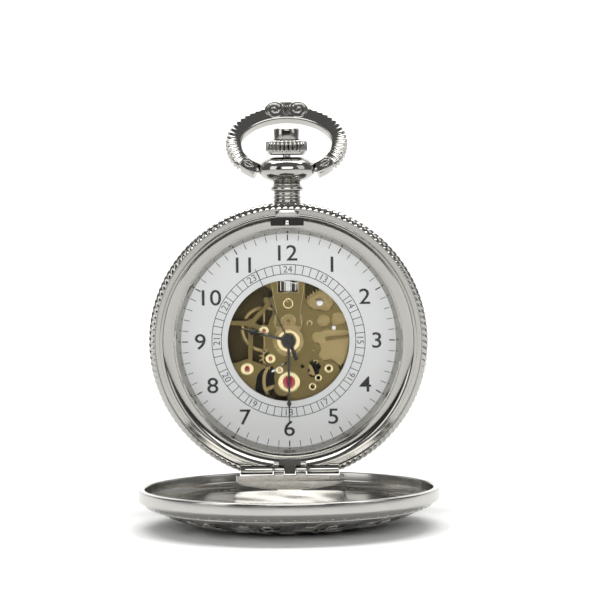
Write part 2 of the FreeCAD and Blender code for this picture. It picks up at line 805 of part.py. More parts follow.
def plate_openings():
    """Everything cut through the main plate."""
    low, high = plate_back, plate_front
    cuts = [left_window()]
    cuts.append(prism([
        (-0.3, -3.6), (-2.2, -4.6), (-4.6, -5.0, -5.6, -7.2), (-5.7, -9.0, -4.4, -10.6),
        (-2.0, -11.2, -0.3, -10.4), (-0.3, -9.4), (-2.3, -8.9, -2.3, -7.2), (-2.3, -5.5, -0.3, -5.0),
    ], low, high).cut([
        disc(0.7, low, high, pallet_x, pallet_y), disc(0.95, low, high, escape_x, escape_y),
        bar(escape_x, escape_y, pallet_x, pallet_y, 0.5, 0.5, low, high),
        bar(pallet_x, pallet_y, 0.6, -4.2, 0.45, 0.45, low, high),
    ]))
    cuts.append(prism([
        (2.9, 7.4), (3.5, 5.7, 5.4, 5.1), (6.9, 5.0, 7.7, 6.5), (9.0, 9.6), (6.2, 12.2, 2.9, 12.6),
    ], low, high))
    cuts.append(disc(1.15, low, high, 6.0, 3.2))
    cuts.append(prism([
        (7.5, 2.3), (9.6, 2.6), (8.8, 4.6, 7.5, 4.3),
    ], low, high))
    cuts.append(prism([
        (4.0, 0.3), (4.4, 1.3, 5.3, 1.3), (6.3, 1.7), (11.6, 1.6), (11.4, -3.4, 8.6, -6.1),
        (8.2, -4.2, 6.9, -3.5), (5.5, -3.5, 5.2, -2.3), (5.2, -0.9, 4.4, -0.6),
    ], low, high).cut(bar(6.3, 0.1, 12.0, 0.6, 0.2, 0.2, low, high)))
    oval = disc(1.05, low, high, 4.4, -4.4).fuse(disc(1.0, low, high, 4.15, -5.5))
    cuts.append(oval)
    for x, y in ((3.6, 2.9), (4.2, -1.9), (2.3, -4.5), (6.8, -4.9), (5.0, -6.5), (4.0, -8.0)):
        cuts.append(disc(0.34, low, high, x, y))
    cuts.append(block(-1.65, 1.65, winding_low_y - 0.25, winding_high_y + 0.2, low, high))
    return cuts


def main_plate():
    """The skeletonised plate that the dial side shows."""
    plate = disc(plate_radius, plate_back, plate_front).cut(plate_openings())
    bosses = [
        disc(jewel_radius + 0.35, plate_back, plate_front, third_x, third_y),
        tube(balance_jewel_radius + 0.6, balance_jewel_radius, plate_back, plate_front,
             balance_x, balance_y),
        disc(1.4, plate_back, plate_front),
        disc(0.6, plate_back, plate_front, lever_x, lever_y),
        disc(0.6, plate_back, plate_front, yoke_x, yoke_y),
    ]
    plate = plate.fuse(bosses)
    holes = [disc(radius, plate_back, plate_front, x, y) for x, y, radius in jewels_in_plate]
    holes.append(disc(centre_pipe + running_clearance, plate_back, plate_front))
    holes.append(disc(barrel_pivot_radius + running_clearance, plate_back, plate_front,
                      barrel_x, barrel_y))
    clutch_low = clutch_low_y - clutch_travel - 0.2
    room = clutch_radius + 0.15
    holes.append(block(-room, room, clutch_low, winding_low_y, plate_back, stem_z + room))
    posts = [disc(motion_post_radius, plate_front, dial_back - 0.1, x, y)
             for x, y in ((minute_x, minute_y), (setting_x, setting_y))]
    return plate.cut(holes).fuse(posts).removeSplitter()


def setting_bridge():
    """Covers the motion work at 12, open over the minute wheel's pinion."""
    low, high = dial_back - 0.3, dial_back - 0.05
    body = prism([
        (-2.3, 2.4), (2.3, 2.4), (2.0, 5.0), (2.6, 8.0), (3.4, 15.0), (-3.4, 15.0), (-2.6, 8.0),
        (-2.0, 5.0),
    ], low, high)
    hour_tip = hour_module * (hour_teeth / 2 + 0.85) + 0.12
    window = block(-1.75, 1.75, winding_low_y - 0.15, winding_high_y + 0.4, low, high)
    posts = [disc(motion_post_radius, low, high, setting_x, setting_y)]
    body = body.cut([disc(hour_tip, low, high), disc(1.2, low, high, minute_x, minute_y), window])
    return body.cut(posts)


def setting_spring():
    """The wire clip across the winding pinion's window."""
    y = winding_high_y + 0.15
    points = [(-2.2, y + 0.25), (-1.2, y + 0.1), (0.2, y - 0.15), (1.4, y - 0.45), (2.1, y + 0.1)]
    low = dial_back - 0.28
    pieces = [disc(0.1, low, low + 0.2, x, py) for x, py in points]
    for (x1, y1), (x2, y2) in zip(points, points[1:]):
        pieces.append(bar(x1, y1, x2, y2, 0.1, 0.1, low, low + 0.2))
    clip = one_solid(pieces)
    clip.translate(vec(0, 0, -0.28))
    return clip


def feet(name, high):
    """A bridge's feet, standing on the back of the main plate."""
    return [disc(foot_radius, high, plate_back, x, y) for x, y in foot_places[name]]


def barrel_bridge():
    body = prism([
        (0.75, 5.2), (0.75, 7.9), (1.9, 8.1), (1.9, 16), (16, 16), (16, -12), (9.0, -12), (4.9, -2.6),
    ], bridge_back, bridge_front)
    body = body.common(disc(plate_radius - 0.3, bridge_back, bridge_front))
    centre_tip = centre_module * (centre_teeth / 2 + 0.85) + 0.25
    body = body.cut(disc(centre_tip, bridge_back, bridge_front))
    body = one_solid([body] + feet("barrel", bridge_front))
    arbor_hole = disc(barrel_core_radius + running_clearance, bridge_back, bridge_front,
                      barrel_x, barrel_y)
    core = disc(crown_core_radius, winding_wheels_back - 0.1, bridge_back,
                crown_wheel_x, crown_wheel_y)
    return body.cut(arbor_hole).fuse(core).removeSplitter()


def train_bridge():
    low, high = train_bridge_back, train_bridge_front
    body = prism([
        (2.0, 1.7), (-2.2, 3.7), (-2.2, 16), (-16, 16), (-16, -8.6), (-7.2, -6.6),
        (-4.9, -5.0), (-1.9, -4.4), (2.0, -1.9),
    ], low, high)
    body = body.common(disc(plate_radius - 0.3, low, high))
    body = one_solid([body] + feet("train", high))
    holes = [disc(jewel_radius, low, high, x, y)
             for x, y in ((third_x, third_y), (escape_x, escape_y), (0, 0))]
    return body.cut(holes)


def balance_cock():
    low, high = train_bridge_back, train_bridge_front
    x, y = foot_places["balance"][0]
    arm = bar(balance_x, balance_y, x, y, 1.5, 1.7, low, high)
    foot = disc(1.5, high, plate_back, x, y)
    body = one_solid([disc(1.9, low, high, balance_x, balance_y), arm, foot,
                      disc(1.7, low, high, x, y)])
    return body.cut(disc(0.9, low, high, balance_x, balance_y))


def pallet_bridge():
    low, high = pallet_bridge_back, pallet_bridge_front
    pieces = [disc(0.62, low, high, pallet_x, pallet_y)]
    for x, y in foot_places["pallet"]:
        pieces.append(bar(pallet_x, pallet_y, x, y, 0.35, 0.4, low, high))
        pieces.append(disc(0.4, low, plate_back, x, y))
    return one_solid(pieces).cut(disc(pivot_radius + running_clearance, low, high, pallet_x, pallet_y))


def plate_jewels():
    stones = []
    for x, y, radius in jewels_in_plate:
        bore = pivot_radius + running_clearance
        stones.append(tube(radius, bore, plate_front - 0.4, plate_front + jewel_proud, x, y))
    return Part.makeCompound(stones)


def bridge_jewels():
    low, high = train_bridge_back - jewel_proud, train_bridge_back + 0.4
    places = [(third_x, third_y, jewel_radius), (escape_x, escape_y, jewel_radius),
              (0, 0, jewel_radius), (balance_x, balance_y, 0.9)]
    bore = pivot_radius + running_clearance
    return Part.makeCompound([tube(radius, bore, low, high, x, y) for x, y, radius in places])


def bridge_screws():
    """One slotted screw on each bridge foot."""
    screws = []
    levels = {"barrel": bridge_back, "train": train_bridge_back, "balance": train_bridge_back}
    for name, level in levels.items():
        for x, y in foot_places[name]:
            head = disc(screw_radius, level - screw_head_height, level, x, y)
            slot = block(x - screw_radius, x + screw_radius, y - 0.06, y + 0.06,
                         level - screw_head_height, level - screw_head_height + 0.1)
            screws.append(head.cut(slot))
    x, y = crown_wheel_x, crown_wheel_y
    low = winding_wheels_back - 0.1
    screws.append(disc(0.9, low - 0.2, low, x, y))
    return Part.makeCompound(screws)


parts["main_plate"] = stand_up(main_plate())
parts["setting_bridge"] = stand_up(setting_bridge())
parts["setting_spring"] = stand_up(setting_spring())
parts["barrel_bridge"] = stand_up(barrel_bridge())
parts["train_bridge"] = stand_up(train_bridge())
parts["balance_cock"] = stand_up(balance_cock())
parts["pallet_bridge"] = stand_up(pallet_bridge())
parts["plate_jewels"] = stand_up(plate_jewels())
parts["bridge_jewels"] = stand_up(bridge_jewels())
parts["bridge_screws"] = stand_up(bridge_screws())


# ---------------------------------------------------------------- winding and setting work

ratchet_direction = math.degrees(math.atan2(barrel_y - crown_wheel_y, barrel_x - crown_wheel_x))
ratchet_phase = meshed_phase(crown_wheel_teeth, 0, ratchet_direction, ratchet_teeth)
ratchet_tip = ratchet_module * (ratchet_teeth / 2 + 0.85)
click_x, click_y = polar(ratchet_tip + 1.5, 48, barrel_x, barrel_y)


def crown_wheel():
    return gear(crown_wheel_teeth, winding_module, 0, winding_wheels_back, winding_wheels_front,
                crown_wheel_x, crown_wheel_y, bore=crown_core_radius + running_clearance)


def ratchet_wheel():
    return gear(ratchet_teeth, ratchet_module, ratchet_phase, winding_wheels_back,
                winding_wheels_front, barrel_x, barrel_y, bore=barrel_core_radius)


def barrel_arbor():
    """Through plate, barrel and bridge, with a core that the mainspring coils on."""
    x, y = barrel_x, barrel_y
    return one_solid([
        disc(barrel_pivot_radius, plate_back - 0.3, plate_front, x, y),
        disc(1.2, mainspring_back, plate_back - 0.3, x, y),
        disc(barrel_core_radius, winding_wheels_back - 0.15, mainspring_back, x, y),
    ])


def click():
    low, high = winding_wheels_back, winding_wheels_front
    tip = polar(ratchet_tip + 0.12, 32, barrel_x, barrel_y)
    body = bar(click_x, click_y, *tip, 0.55, 0.12, low, high)
    return one_solid([body, disc(0.6, low, high, click_x, click_y)]).cut(
        disc(click_post_radius + running_clearance, low, high, click_x, click_y))


def click_spring():
    """A post for the click, and the wire that presses it."""
    low, high = winding_wheels_back, winding_wheels_front
    post = disc(click_post_radius, winding_wheels_back - 0.05, bridge_back, click_x, click_y)
    start = polar(ratchet_tip + 2.4, 30, barrel_x, barrel_y)
    anchor = disc(0.3, low, bridge_back, *start)
    end = polar(ratchet_tip + 1.5, 38, barrel_x, barrel_y)
    wire = bar(*start, *end, 0.06, 0.06, low, high)
    return Part.makeCompound([post, one_solid([anchor, wire])])


def keyless_lever(x, y, tip_x, tip_y, thickness):
    """A lever on a post, tapering to the tip that lies in a groove."""
    low, high = stem_z - thickness / 2, stem_z + thickness / 2
    arm = bar(x, y, tip_x, tip_y, 0.42, 0.1, low, high)
    return one_solid([arm, disc(0.55, low, high, x, y)]).cut(
        disc(keyless_post_radius + running_clearance, low, high, x, y))


def setting_lever():
    """Turns as the stem is pulled. Its tip lies in the stem's groove."""
    return keyless_lever(lever_x, lever_y, stem_groove_radius + 0.1, stem_groove_y, 0.3)


def yoke():
    """Slides the clutch. Its tip lies in the clutch's groove."""
    return keyless_lever(yoke_x, yoke_y, -clutch_radius + 0.2, clutch_middle, 0.2)


def keyless_posts():
    """The studs that the setting lever and the yoke turn on."""
    return Part.makeCompound([
        disc(keyless_post_radius, stem_z - 0.2, plate_back, x, y)
        for x, y in ((lever_x, lever_y), (yoke_x, yoke_y))
    ])


parts["crown_wheel"] = stand_up(crown_wheel())
parts["ratchet_wheel"] = stand_up(ratchet_wheel())
parts["barrel_arbor"] = stand_up(barrel_arbor())
parts["click"] = stand_up(click())
parts["click_spring"] = stand_up(click_spring())
parts["setting_lever"] = stand_up(setting_lever())
parts["yoke"] = stand_up(yoke())
parts["keyless_posts"] = stand_up(keyless_posts())


# ---------------------------------------------------------------- wheel train

centre_phase = 0.0
third_phase = meshed_phase(centre_teeth, centre_phase, third_direction, third_leaves)
fourth_phase = meshed_phase(third_teeth, 0.0, third_direction + 180, fourth_leaves)
escape_phase = meshed_phase(fourth_teeth, 0.0, escape_direction, escape_leaves)
barrel_phase = meshed_phase(centre_leaves, 0.0, barrel_direction, barrel_teeth)


def mainspring_barrel():
    """A toothed drum with a lid, open for the arbor."""
    x, y = barrel_x, barrel_y
    low, high = barrel_back, barrel_front
    teeth = gear(barrel_teeth, barrel_module, barrel_phase, barrel_teeth_back, barrel_teeth_front,
                 x, y, bore=drum_radius)
    wall = tube(drum_radius, drum_radius - 0.25, low, high, x, y)
    floor = tube(drum_radius - 0.25, barrel_core_radius + running_clearance, low, low + 0.12, x, y)
    lid = tube(drum_radius - 0.25, barrel_pivot_radius + running_clearance, high - 0.12, high, x, y)
    return one_solid([teeth, wall, floor, lid])


def mainspring():
    return spiral(1.45, drum_radius - 0.45, 9, 0.14, mainspring_back, plate_back - 0.3,
                  barrel_x, barrel_y)


def centre_wheel():
    """Driven by the barrel, on a tube that carries the cannon pinion."""
    wheel = gear(centre_teeth, centre_module, centre_phase, centre_wheel_back,
                 centre_wheel_back + wheel_thickness,
                 bore=centre_pipe, spokes=5, hub=0.9)
    pinion = gear(centre_leaves, barrel_module, 0, centre_pinion_back, centre_pinion_front,
                  bore=centre_pipe)
    pipe = disc(centre_pipe, centre_wheel_back, cannon_shoulder)
    bore = disc(seconds_arbor + running_clearance, centre_wheel_back, cannon_shoulder)
    return one_solid([wheel, pinion, pipe]).cut(bore)


def arbor(x, y, low, high, radius=0.25):
    """A spindle with a thinner pivot at each end."""
    return [disc(radius, low + 0.45, high - 0.45, x, y), disc(pivot_radius, low, high, x, y)]


def third_wheel():
    x, y = third_x, third_y
    wheel = gear(third_teeth, third_module, 0, third_wheel_back, third_wheel_back + wheel_thickness,
                 x, y, bore=0.25, spokes=4, hub=0.8)
    pinion = gear(third_leaves, centre_module, third_phase, third_pinion_back, third_pinion_front,
                  x, y, bore=0.25)
    collar = disc(0.4, third_pinion_back - 0.06, third_pinion_back + 0.01, x, y)
    return one_solid([wheel, pinion, collar] + arbor(x, y, train_bridge_back, plate_front))


def fourth_wheel():
    """Turns once a minute. Its long arbor carries the seconds hand."""
    wheel = gear(fourth_teeth, fourth_module, 0, fourth_wheel_back,
                 fourth_wheel_back + wheel_thickness, bore=seconds_arbor, spokes=4, hub=0.8)
    pinion = gear(fourth_leaves, third_module, fourth_phase, fourth_pinion_back,
                  fourth_pinion_front, bore=seconds_arbor)
    long_arbor = disc(seconds_arbor, long_arbor_back, seconds_hand_front)
    pivot = disc(pivot_radius, train_bridge_back, long_arbor_back)
    return one_solid([wheel, pinion, long_arbor, pivot])


def escape_wheel():
    """Fifteen pointed teeth, undercut on the side that the pallets meet."""
    x, y = escape_x, escape_y
    points = []
    for i in range(escape_count):
        turn = i * 360.0 / escape_count
        points.append(polar(escape_root_radius, turn - 7, x, y))
        points.append(polar(escape_tip_radius, turn, x, y))
        points.append(polar(escape_tip_radius, turn + 3.5, x, y))
        points.append(polar(escape_root_radius, turn + 4, x, y))
    low, high = escape_wheel_back, escape_wheel_front
    wheel = prism(points, low, high)
    for window in spoke_windows(4, 0.55, 1.2, 0.25, x, y, low, 0):
        wheel = wheel.cut(Part.Face(window).extrude(vec(0, 0, high - low)))
    pinion = gear(escape_leaves, fourth_module, escape_phase, escape_pinion_back,
                  escape_pinion_front, x, y, bore=pivot_radius)
    return one_solid([wheel, pinion] + arbor(x, y, train_bridge_back, plate_front, 0.18))


def pallet_fork():
    """An anchor with two stones beside the escape wheel, and a fork towards the balance."""
    low, high = pallet_back, pallet_front
    stone_circle = escape_tip_radius + pallet_swing_clearance + 0.15
    pieces = [disc(0.35, low, high, pallet_x, pallet_y)]
    for side in (-30, 30):
        x, y = polar(stone_circle, balance_direction + side, escape_x, escape_y)
        pieces.append(bar(pallet_x, pallet_y, x, y, 0.2, 0.14, low, high))
        pieces.append(disc(0.15, low, high, x, y))
    reach = math.hypot(balance_x - pallet_x, balance_y - pallet_y) - impulse_circle - 0.2
    tip = polar(reach, balance_direction, pallet_x, pallet_y)
    fork = bar(pallet_x, pallet_y, *tip, 0.16, 0.3, low, high)
    notch = disc(0.16, low, high, *tip)
    spindle = [disc(0.16, low, high + 0.1, pallet_x, pallet_y),
               disc(pivot_radius, pallet_bridge_back, plate_front - 0.05, pallet_x, pallet_y)]
    return one_solid([one_solid(pieces + [fork]).cut(notch)] + spindle)


def balance_wheel():
    x, y = balance_x, balance_y
    low, high = balance_back, balance_front
    rim = tube(balance_radius, balance_radius - balance_rim, low, high, x, y)
    arms = [
        bar(*polar(balance_radius - balance_rim / 2, turn, x, y),
            *polar(balance_radius - balance_rim / 2, turn + 180, x, y), 0.3, 0.3, low + 0.1, high)
        for turn in (20, 110)
    ]
    roller = disc(0.8, roller_back, roller_front, x, y)
    pin_place = polar(impulse_circle, balance_direction + 180, x, y)
    pin = disc(0.08, roller_front - 0.05, roller_front + 0.3, *pin_place)
    staff = arbor(x, y, train_bridge_back, plate_front, 0.22)
    return one_solid([rim, roller, pin] + arms + staff)


def hairspring():
    coil = spiral(0.5, hairspring_radius, 9, 0.05, hairspring_back, hairspring_front,
                  balance_x, balance_y)
    collet = tube(0.5, 0.22, hairspring_back - 0.02, hairspring_front + 0.02, balance_x, balance_y)
    return one_solid([coil, collet])


def regulator():
    low, high = train_bridge_back - 0.2, train_bridge_back - 0.02
    x, y = balance_x, balance_y
    arm = bar(*polar(1.2, 40, x, y), *polar(4.2, 40, x, y), 0.25, 0.12, low, high)
    return one_solid([tube(1.35, 1.0, low, high, x, y), arm]).cut(disc(1.0, low, high, x, y))


parts["mainspring_barrel"] = stand_up(mainspring_barrel())
parts["mainspring"] = stand_up(mainspring())
parts["centre_wheel"] = stand_up(centre_wheel())
parts["third_wheel"] = stand_up(third_wheel())
parts["fourth_wheel"] = stand_up(fourth_wheel())
parts["escape_wheel"] = stand_up(escape_wheel())
parts["pallet_fork"] = stand_up(pallet_fork())
parts["balance_wheel"] = stand_up(balance_wheel())
parts["hairspring"] = stand_up(hairspring())
parts["regulator"] = stand_up(regulator())


# ---------------------------------------------------------------- motion work and hands

cannon_phase = 90.0
minute_phase = meshed_phase(cannon_leaves, cannon_phase, 90, minute_teeth)
hour_phase = meshed_phase(minute_leaves, 270.0, 270, hour_teeth)
setting_phase = meshed_phase(minute_teeth, minute_phase, 90, setting_teeth)


def cannon_pinion():
    low, high = cannon_back, minute_hand_front
    shoulder = cannon_shoulder + running_clearance
    leaves = gear(cannon_leaves, motion_module, cannon_phase, low, cannon_leaves_front,
                  bore=cannon_pipe)
    pipe = tube(cannon_pipe, centre_pipe + running_clearance, low, shoulder)
    cap = tube(cannon_pipe, seconds_arbor + running_clearance, shoulder, high)
    return one_solid([leaves, pipe, cap])


def minute_wheel():
    x, y = minute_x, minute_y
    bore = motion_post_radius + running_clearance
    wheel = gear(minute_teeth, motion_module, minute_phase, minute_wheel_back, minute_wheel_front,
                 x, y, bore=bore)
    pinion = gear(minute_leaves, hour_module, 270.0, minute_wheel_front, dial_back - 0.09, x, y,
                  bore=bore)
    return one_solid([wheel, pinion])


def hour_wheel():
    inner = cannon_pipe + running_clearance
    wheel = gear(hour_teeth, hour_module, hour_phase, hour_wheel_back, hour_wheel_front, bore=inner)
    pipe = tube(hour_pipe, inner, hour_wheel_back, hour_hand_front)
    return one_solid([wheel, pipe])


def setting_wheel():
    return gear(setting_teeth, motion_module, setting_phase, minute_wheel_back, minute_wheel_front,
                setting_x, setting_y, bore=motion_post_radius + running_clearance)


def hand(front, length, hub, bore, root, tip, turn, ornaments, tail=0.0):
    """A flat hand that points to 12 and is then turned clockwise."""
    low, high = front - hand_thickness, front
    pieces = [disc(hub, low, high), bar(0, 0, 0, length, root, tip, low, high)]
    if tail:
        pieces.append(bar(0, 0, 0, -tail, root, 0.38, low, high))
    for y, half_width, half_height in ornaments:
        pieces.append(prism([(-half_width, y), (0, y + half_height), (half_width, y),
                             (0, y - half_height)], low, high))
    shape = one_solid(pieces).cut(disc(bore, low, high))
    shape.rotate(vec(0, 0, 0), UP, -turn)
    return shape


minutes_past = shown_minute + shown_second / 60.0
hour_turn = 30.0 * (shown_hour + minutes_past / 60.0)
hour_hand = hand(hour_hand_front, hour_hand_length, hand_hub_radius, hour_pipe, 0.22, 0.1,
                 hour_turn, [(6.4, 0.65, 0.75)])
minute_hand = hand(minute_hand_front, minute_hand_length, 0.95, cannon_pipe, 0.24, 0.07,
                   6.0 * shown_minute, [(10.6, 0.42, 0.8)])
seconds_hand = hand(seconds_hand_front, seconds_hand_length, 0.6, seconds_arbor, 0.09, 0.05,
                    6.0 * shown_second, [], seconds_tail_length)

parts["cannon_pinion"] = stand_up(cannon_pinion())
parts["minute_wheel"] = stand_up(minute_wheel())
parts["hour_wheel"] = stand_up(hour_wheel())
parts["setting_wheel"] = stand_up(setting_wheel())
parts["hour_hand"] = stand_up(hour_hand)
parts["minute_hand"] = stand_up(minute_hand)
parts["seconds_hand"] = stand_up(seconds_hand)


# ---------------------------------------------------------------- write the sub-parts

os.makedirs("parts", exist_ok=True)
for name, shape in parts.items():
    shape.exportStep("parts/" + name + ".step")
    print(name, len(shape.Solids), "solid(s)", round(shape.Volume, 3), "mm3", shape.isValid())
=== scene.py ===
# %% [markdown]
# A hunter pocket watch stands open on its front cover. The CAD model is loaded as a fixed
# frame: it says where every piece is and which body it moves with. This script only makes
# the looks, so each new piece takes its place from the frame, and hides any CAD node it stands for.

# %% Load the frame
import json
import math

import bmesh
import bpy
from mathutils import Matrix, Vector

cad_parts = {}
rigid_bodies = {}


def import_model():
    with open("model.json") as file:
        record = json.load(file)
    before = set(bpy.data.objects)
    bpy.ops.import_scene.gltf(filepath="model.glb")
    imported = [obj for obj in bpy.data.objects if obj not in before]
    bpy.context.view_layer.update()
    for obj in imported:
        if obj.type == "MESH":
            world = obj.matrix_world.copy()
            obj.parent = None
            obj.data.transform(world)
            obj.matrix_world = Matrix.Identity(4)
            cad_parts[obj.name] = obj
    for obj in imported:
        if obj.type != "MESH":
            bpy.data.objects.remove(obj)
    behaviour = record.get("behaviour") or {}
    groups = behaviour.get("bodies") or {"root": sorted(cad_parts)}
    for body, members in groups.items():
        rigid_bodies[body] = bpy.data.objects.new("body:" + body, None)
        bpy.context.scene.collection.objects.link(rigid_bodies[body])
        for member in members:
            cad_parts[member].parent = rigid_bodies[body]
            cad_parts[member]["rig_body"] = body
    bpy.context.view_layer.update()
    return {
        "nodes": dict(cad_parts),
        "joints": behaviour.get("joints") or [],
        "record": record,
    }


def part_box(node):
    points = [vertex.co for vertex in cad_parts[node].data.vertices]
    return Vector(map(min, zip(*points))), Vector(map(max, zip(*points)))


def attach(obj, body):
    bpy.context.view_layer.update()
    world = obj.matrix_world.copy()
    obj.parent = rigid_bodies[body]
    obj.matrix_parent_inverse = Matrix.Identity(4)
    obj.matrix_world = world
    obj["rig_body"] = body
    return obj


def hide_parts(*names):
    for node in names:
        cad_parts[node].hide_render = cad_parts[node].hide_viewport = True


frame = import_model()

nodes = frame["nodes"]
joints = {joint["name"]: joint for joint in frame["joints"]}

# %% [markdown]
# The watch leans back a little on its hinge, which makes it hard to say where a tick or a
# screw goes. So the pieces of the case are drawn lying flat in the watch's own frame, in
# millimetres: x to 3 o'clock, y to 12 o'clock and z out of the dial, with z = 0 on the case's
# front seat. One matrix, built from the cover hinge of the frame, then stands them up.

# %% The watch's own frame
MM = 0.001
hinge_place = Vector(joints["cover_hinge"]["pos_m"])
open_angle = math.radians(joints["cover_hinge"]["range_deg"][1])
hinge_in_watch = Vector((0, -21.6, -0.3))
lean = Matrix.Rotation(math.pi - open_angle, 4, "X")
stand = (Matrix.Translation(hinge_place) @ lean @ Matrix.Scale(MM, 4)
         @ Matrix.Translation(-hinge_in_watch))
flat = stand.inverted()
millimetres = Matrix.Scale(MM, 4)
print("leans back", round(math.degrees(math.pi / 2 - open_angle), 2), "degrees")

# %% [markdown]
# Every new piece ends the same way. Its doubles are merged, its normals are set, it is moved
# into place in its mesh, given its finishes and a body, and the CAD nodes it stands for are hidden.
# Edges sharper than a set angle stay crisp, and the rest shade smoothly, as on turned metal.

# %% Finish a piece
def make_object(name, bm):
    """An object at the origin from bm, which is freed."""
    mesh = bpy.data.meshes.new(name)
    bm.to_mesh(mesh)
    bm.free()
    made = bpy.data.objects.new(name, mesh)
    bpy.context.scene.collection.objects.link(made)
    return made


def finish_piece(name, bm, material, body, replaced=(), place=stand, sharp=30.0, closed=True):
    """A mesh object from bm, in place and riding on its body."""
    if closed:
        bmesh.ops.remove_doubles(bm, verts=bm.verts, dist=1e-5)
        bmesh.ops.recalc_face_normals(bm, faces=bm.faces)
    bm.transform(place)
    for face in bm.faces:
        face.smooth = True
    for edge in bm.edges:
        edge.smooth = len(edge.link_faces) == 2 and edge.calc_face_angle() < math.radians(sharp)
    piece = make_object(name, bm)
    for finish in material if isinstance(material, list) else [material]:
        piece.data.materials.append(finish)
    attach(piece, body)
    if replaced:
        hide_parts(*replaced)
    return piece


def turn_profile(bm, points, steps=256, axis=(0, 0, 1), centre=(0, 0, 0), close=True):
    """A profile of (radius, height) points spun all the way round the axis. Returns its faces."""
    up = Vector(axis)
    out = Vector((1, 0, 0))
    verts = [bm.verts.new(Vector(centre) + out * r + up * h) for r, h in points]
    pairs = list(zip(verts, verts[1:] + verts[:1])) if close else list(zip(verts, verts[1:]))
    edges = [bm.edges.new(pair) for pair in pairs if pair[0] is not pair[1]]
    before = set(bm.faces)
    bmesh.ops.spin(bm, geom=verts + edges, cent=centre, axis=up, dvec=(0, 0, 0), angle=math.tau,
                   steps=steps, use_merge=True, use_duplicate=False)
    bmesh.ops.remove_doubles(bm, verts=bm.verts, dist=1e-5)
    return [face for face in bm.faces if face not in before]


def round_corner(before, corner, after, radius, segments=4):
    """Points that take a profile's corner off with an arc."""
    corner = Vector(corner)
    first, last = (Vector(before) - corner).normalized(), (Vector(after) - corner).normalized()
    half = first.angle(last) / 2
    reach = radius / math.tan(half)
    centre = corner + (first + last).normalized() * radius / math.sin(half)
    start = (corner + first * reach) - centre
    end = (corner + last * reach) - centre
    turn = start.angle_signed(end)
    return [tuple(centre + Matrix.Rotation(-turn * i / segments, 2) @ start)
            for i in range(segments + 1)]


def rounded(points, radii, segments=4):
    """A closed profile with each corner rounded by its own radius, where 0 keeps it sharp."""
    result = []
    for i, point in enumerate(points):
        if radii[i]:
            after = points[(i + 1) % len(points)]
            result += round_corner(points[i - 1], point, after, radii[i], segments)
        else:
            result.append(tuple(point))
    return result


def quarter(steps, first=0):
    """Angles of a quarter turn in even steps."""
    return [math.pi / 2 * i / steps for i in range(first, steps + 1)]


def profile_mesh(points, steps=256, **settings):
    """A new bmesh with one profile spun round."""
    bm = bmesh.new()
    turn_profile(bm, points, steps, **settings)
    return bm


print("helpers ready")

# %% [markdown]
# The watch is shown on a pale floor that curves up behind it, as a sheet of paper does in a
# small studio. The light is broad and soft. Polished steel shows only what is around it, so
# the room has a bright front and top, and two dark cards that the camera doesn't see, which
# draw the dark bands that make metal read as metal.

# %% Floor, cards and light
def set_paper(piece, name, colour, roughness, specular):
    """Gives a stage piece a matt finish."""
    paper = bpy.data.materials.new(name)
    paper.use_nodes = True
    shader = paper.node_tree.nodes["Principled BSDF"]
    shader.inputs["Base Color"].default_value = (*colour, 1)
    shader.inputs["Roughness"].default_value = roughness
    shader.inputs["Specular IOR Level"].default_value = specular
    piece.data.materials.append(paper)


def dark_card(name, width, height, place):
    """A card that only reflections see."""
    bm = bmesh.new()
    bmesh.ops.create_grid(bm, x_segments=1, y_segments=1, size=0.5)
    bm.transform(place @ Matrix.Diagonal((width, height, 1, 1)))
    card = make_object(name, bm)
    card.visible_camera = card.visible_shadow = card.visible_diffuse = False
    set_paper(card, name, (0.03, 0.03, 0.03), 0.7, 0.15)


def paper_sweep():
    """The floor and its curved rise behind the watch, as one sheet."""
    bm = bmesh.new()
    section = [(-1.2, 0.0), (0.45, 0.0)]
    section += [(0.45 + 0.35 * math.sin(a), 0.35 - 0.35 * math.cos(a)) for a in quarter(24, 1)]
    section.append((0.8, 2.0))
    verts = [bm.verts.new((-1.6, y, z)) for y, z in section]
    edges = [bm.edges.new(pair) for pair in zip(verts, verts[1:])]
    grown = bmesh.ops.extrude_edge_only(bm, edges=edges)["geom"]
    moved = [item for item in grown if isinstance(item, bmesh.types.BMVert)]
    bmesh.ops.translate(bm, verts=moved, vec=(3.2, 0, 0))
    for face in bm.faces:
        face.smooth = True
    set_paper(make_object("paper_sweep", bm), "white_paper", (0.93, 0.93, 0.925), 0.8, 0.1)


def soft_light(name, place, aim, width, height, power):
    lamp = bpy.data.lights.new(name, "AREA")
    lamp.shape = "RECTANGLE"
    lamp.size, lamp.size_y = width, height
    lamp.energy = power
    light = bpy.data.objects.new(name, lamp)
    light.location = place
    light.rotation_euler = (Vector(aim) - Vector(place)).to_track_quat("-Z", "Y").to_euler()
    bpy.context.scene.collection.objects.link(light)


paper_sweep()
watch_middle = Vector((0, 0.0216, 0.035))
soft_light("top_softbox", (0, 0.20, 0.62), watch_middle, 0.7, 0.4, 1.9)
soft_light("left_softbox", (-0.62, -0.38, 0.30), watch_middle, 0.36, 0.55, 1.0)
soft_light("right_softbox", (0.62, -0.30, 0.34), watch_middle, 0.36, 0.55, 0.7)
soft_light("front_fill", (0.05, -0.95, 0.42), watch_middle, 0.8, 0.4, 4.1)
soft_light("backdrop_light", (0.0, 0.2, 1.0), (0, 0.75, 0.25), 1.2, 0.3, 9.0)

dark_card("low_card", 0.55, 0.11,
          Matrix.Translation((0, -0.42, 0.075)) @ Matrix.Rotation(math.radians(78), 4, "X"))
dark_card("left_card", 0.16, 0.5,
          Matrix.Translation((-0.34, -0.52, 0.16)) @ Matrix.Rotation(math.radians(-32), 4, "Z")
          @ Matrix.Rotation(math.radians(90), 4, "X"))

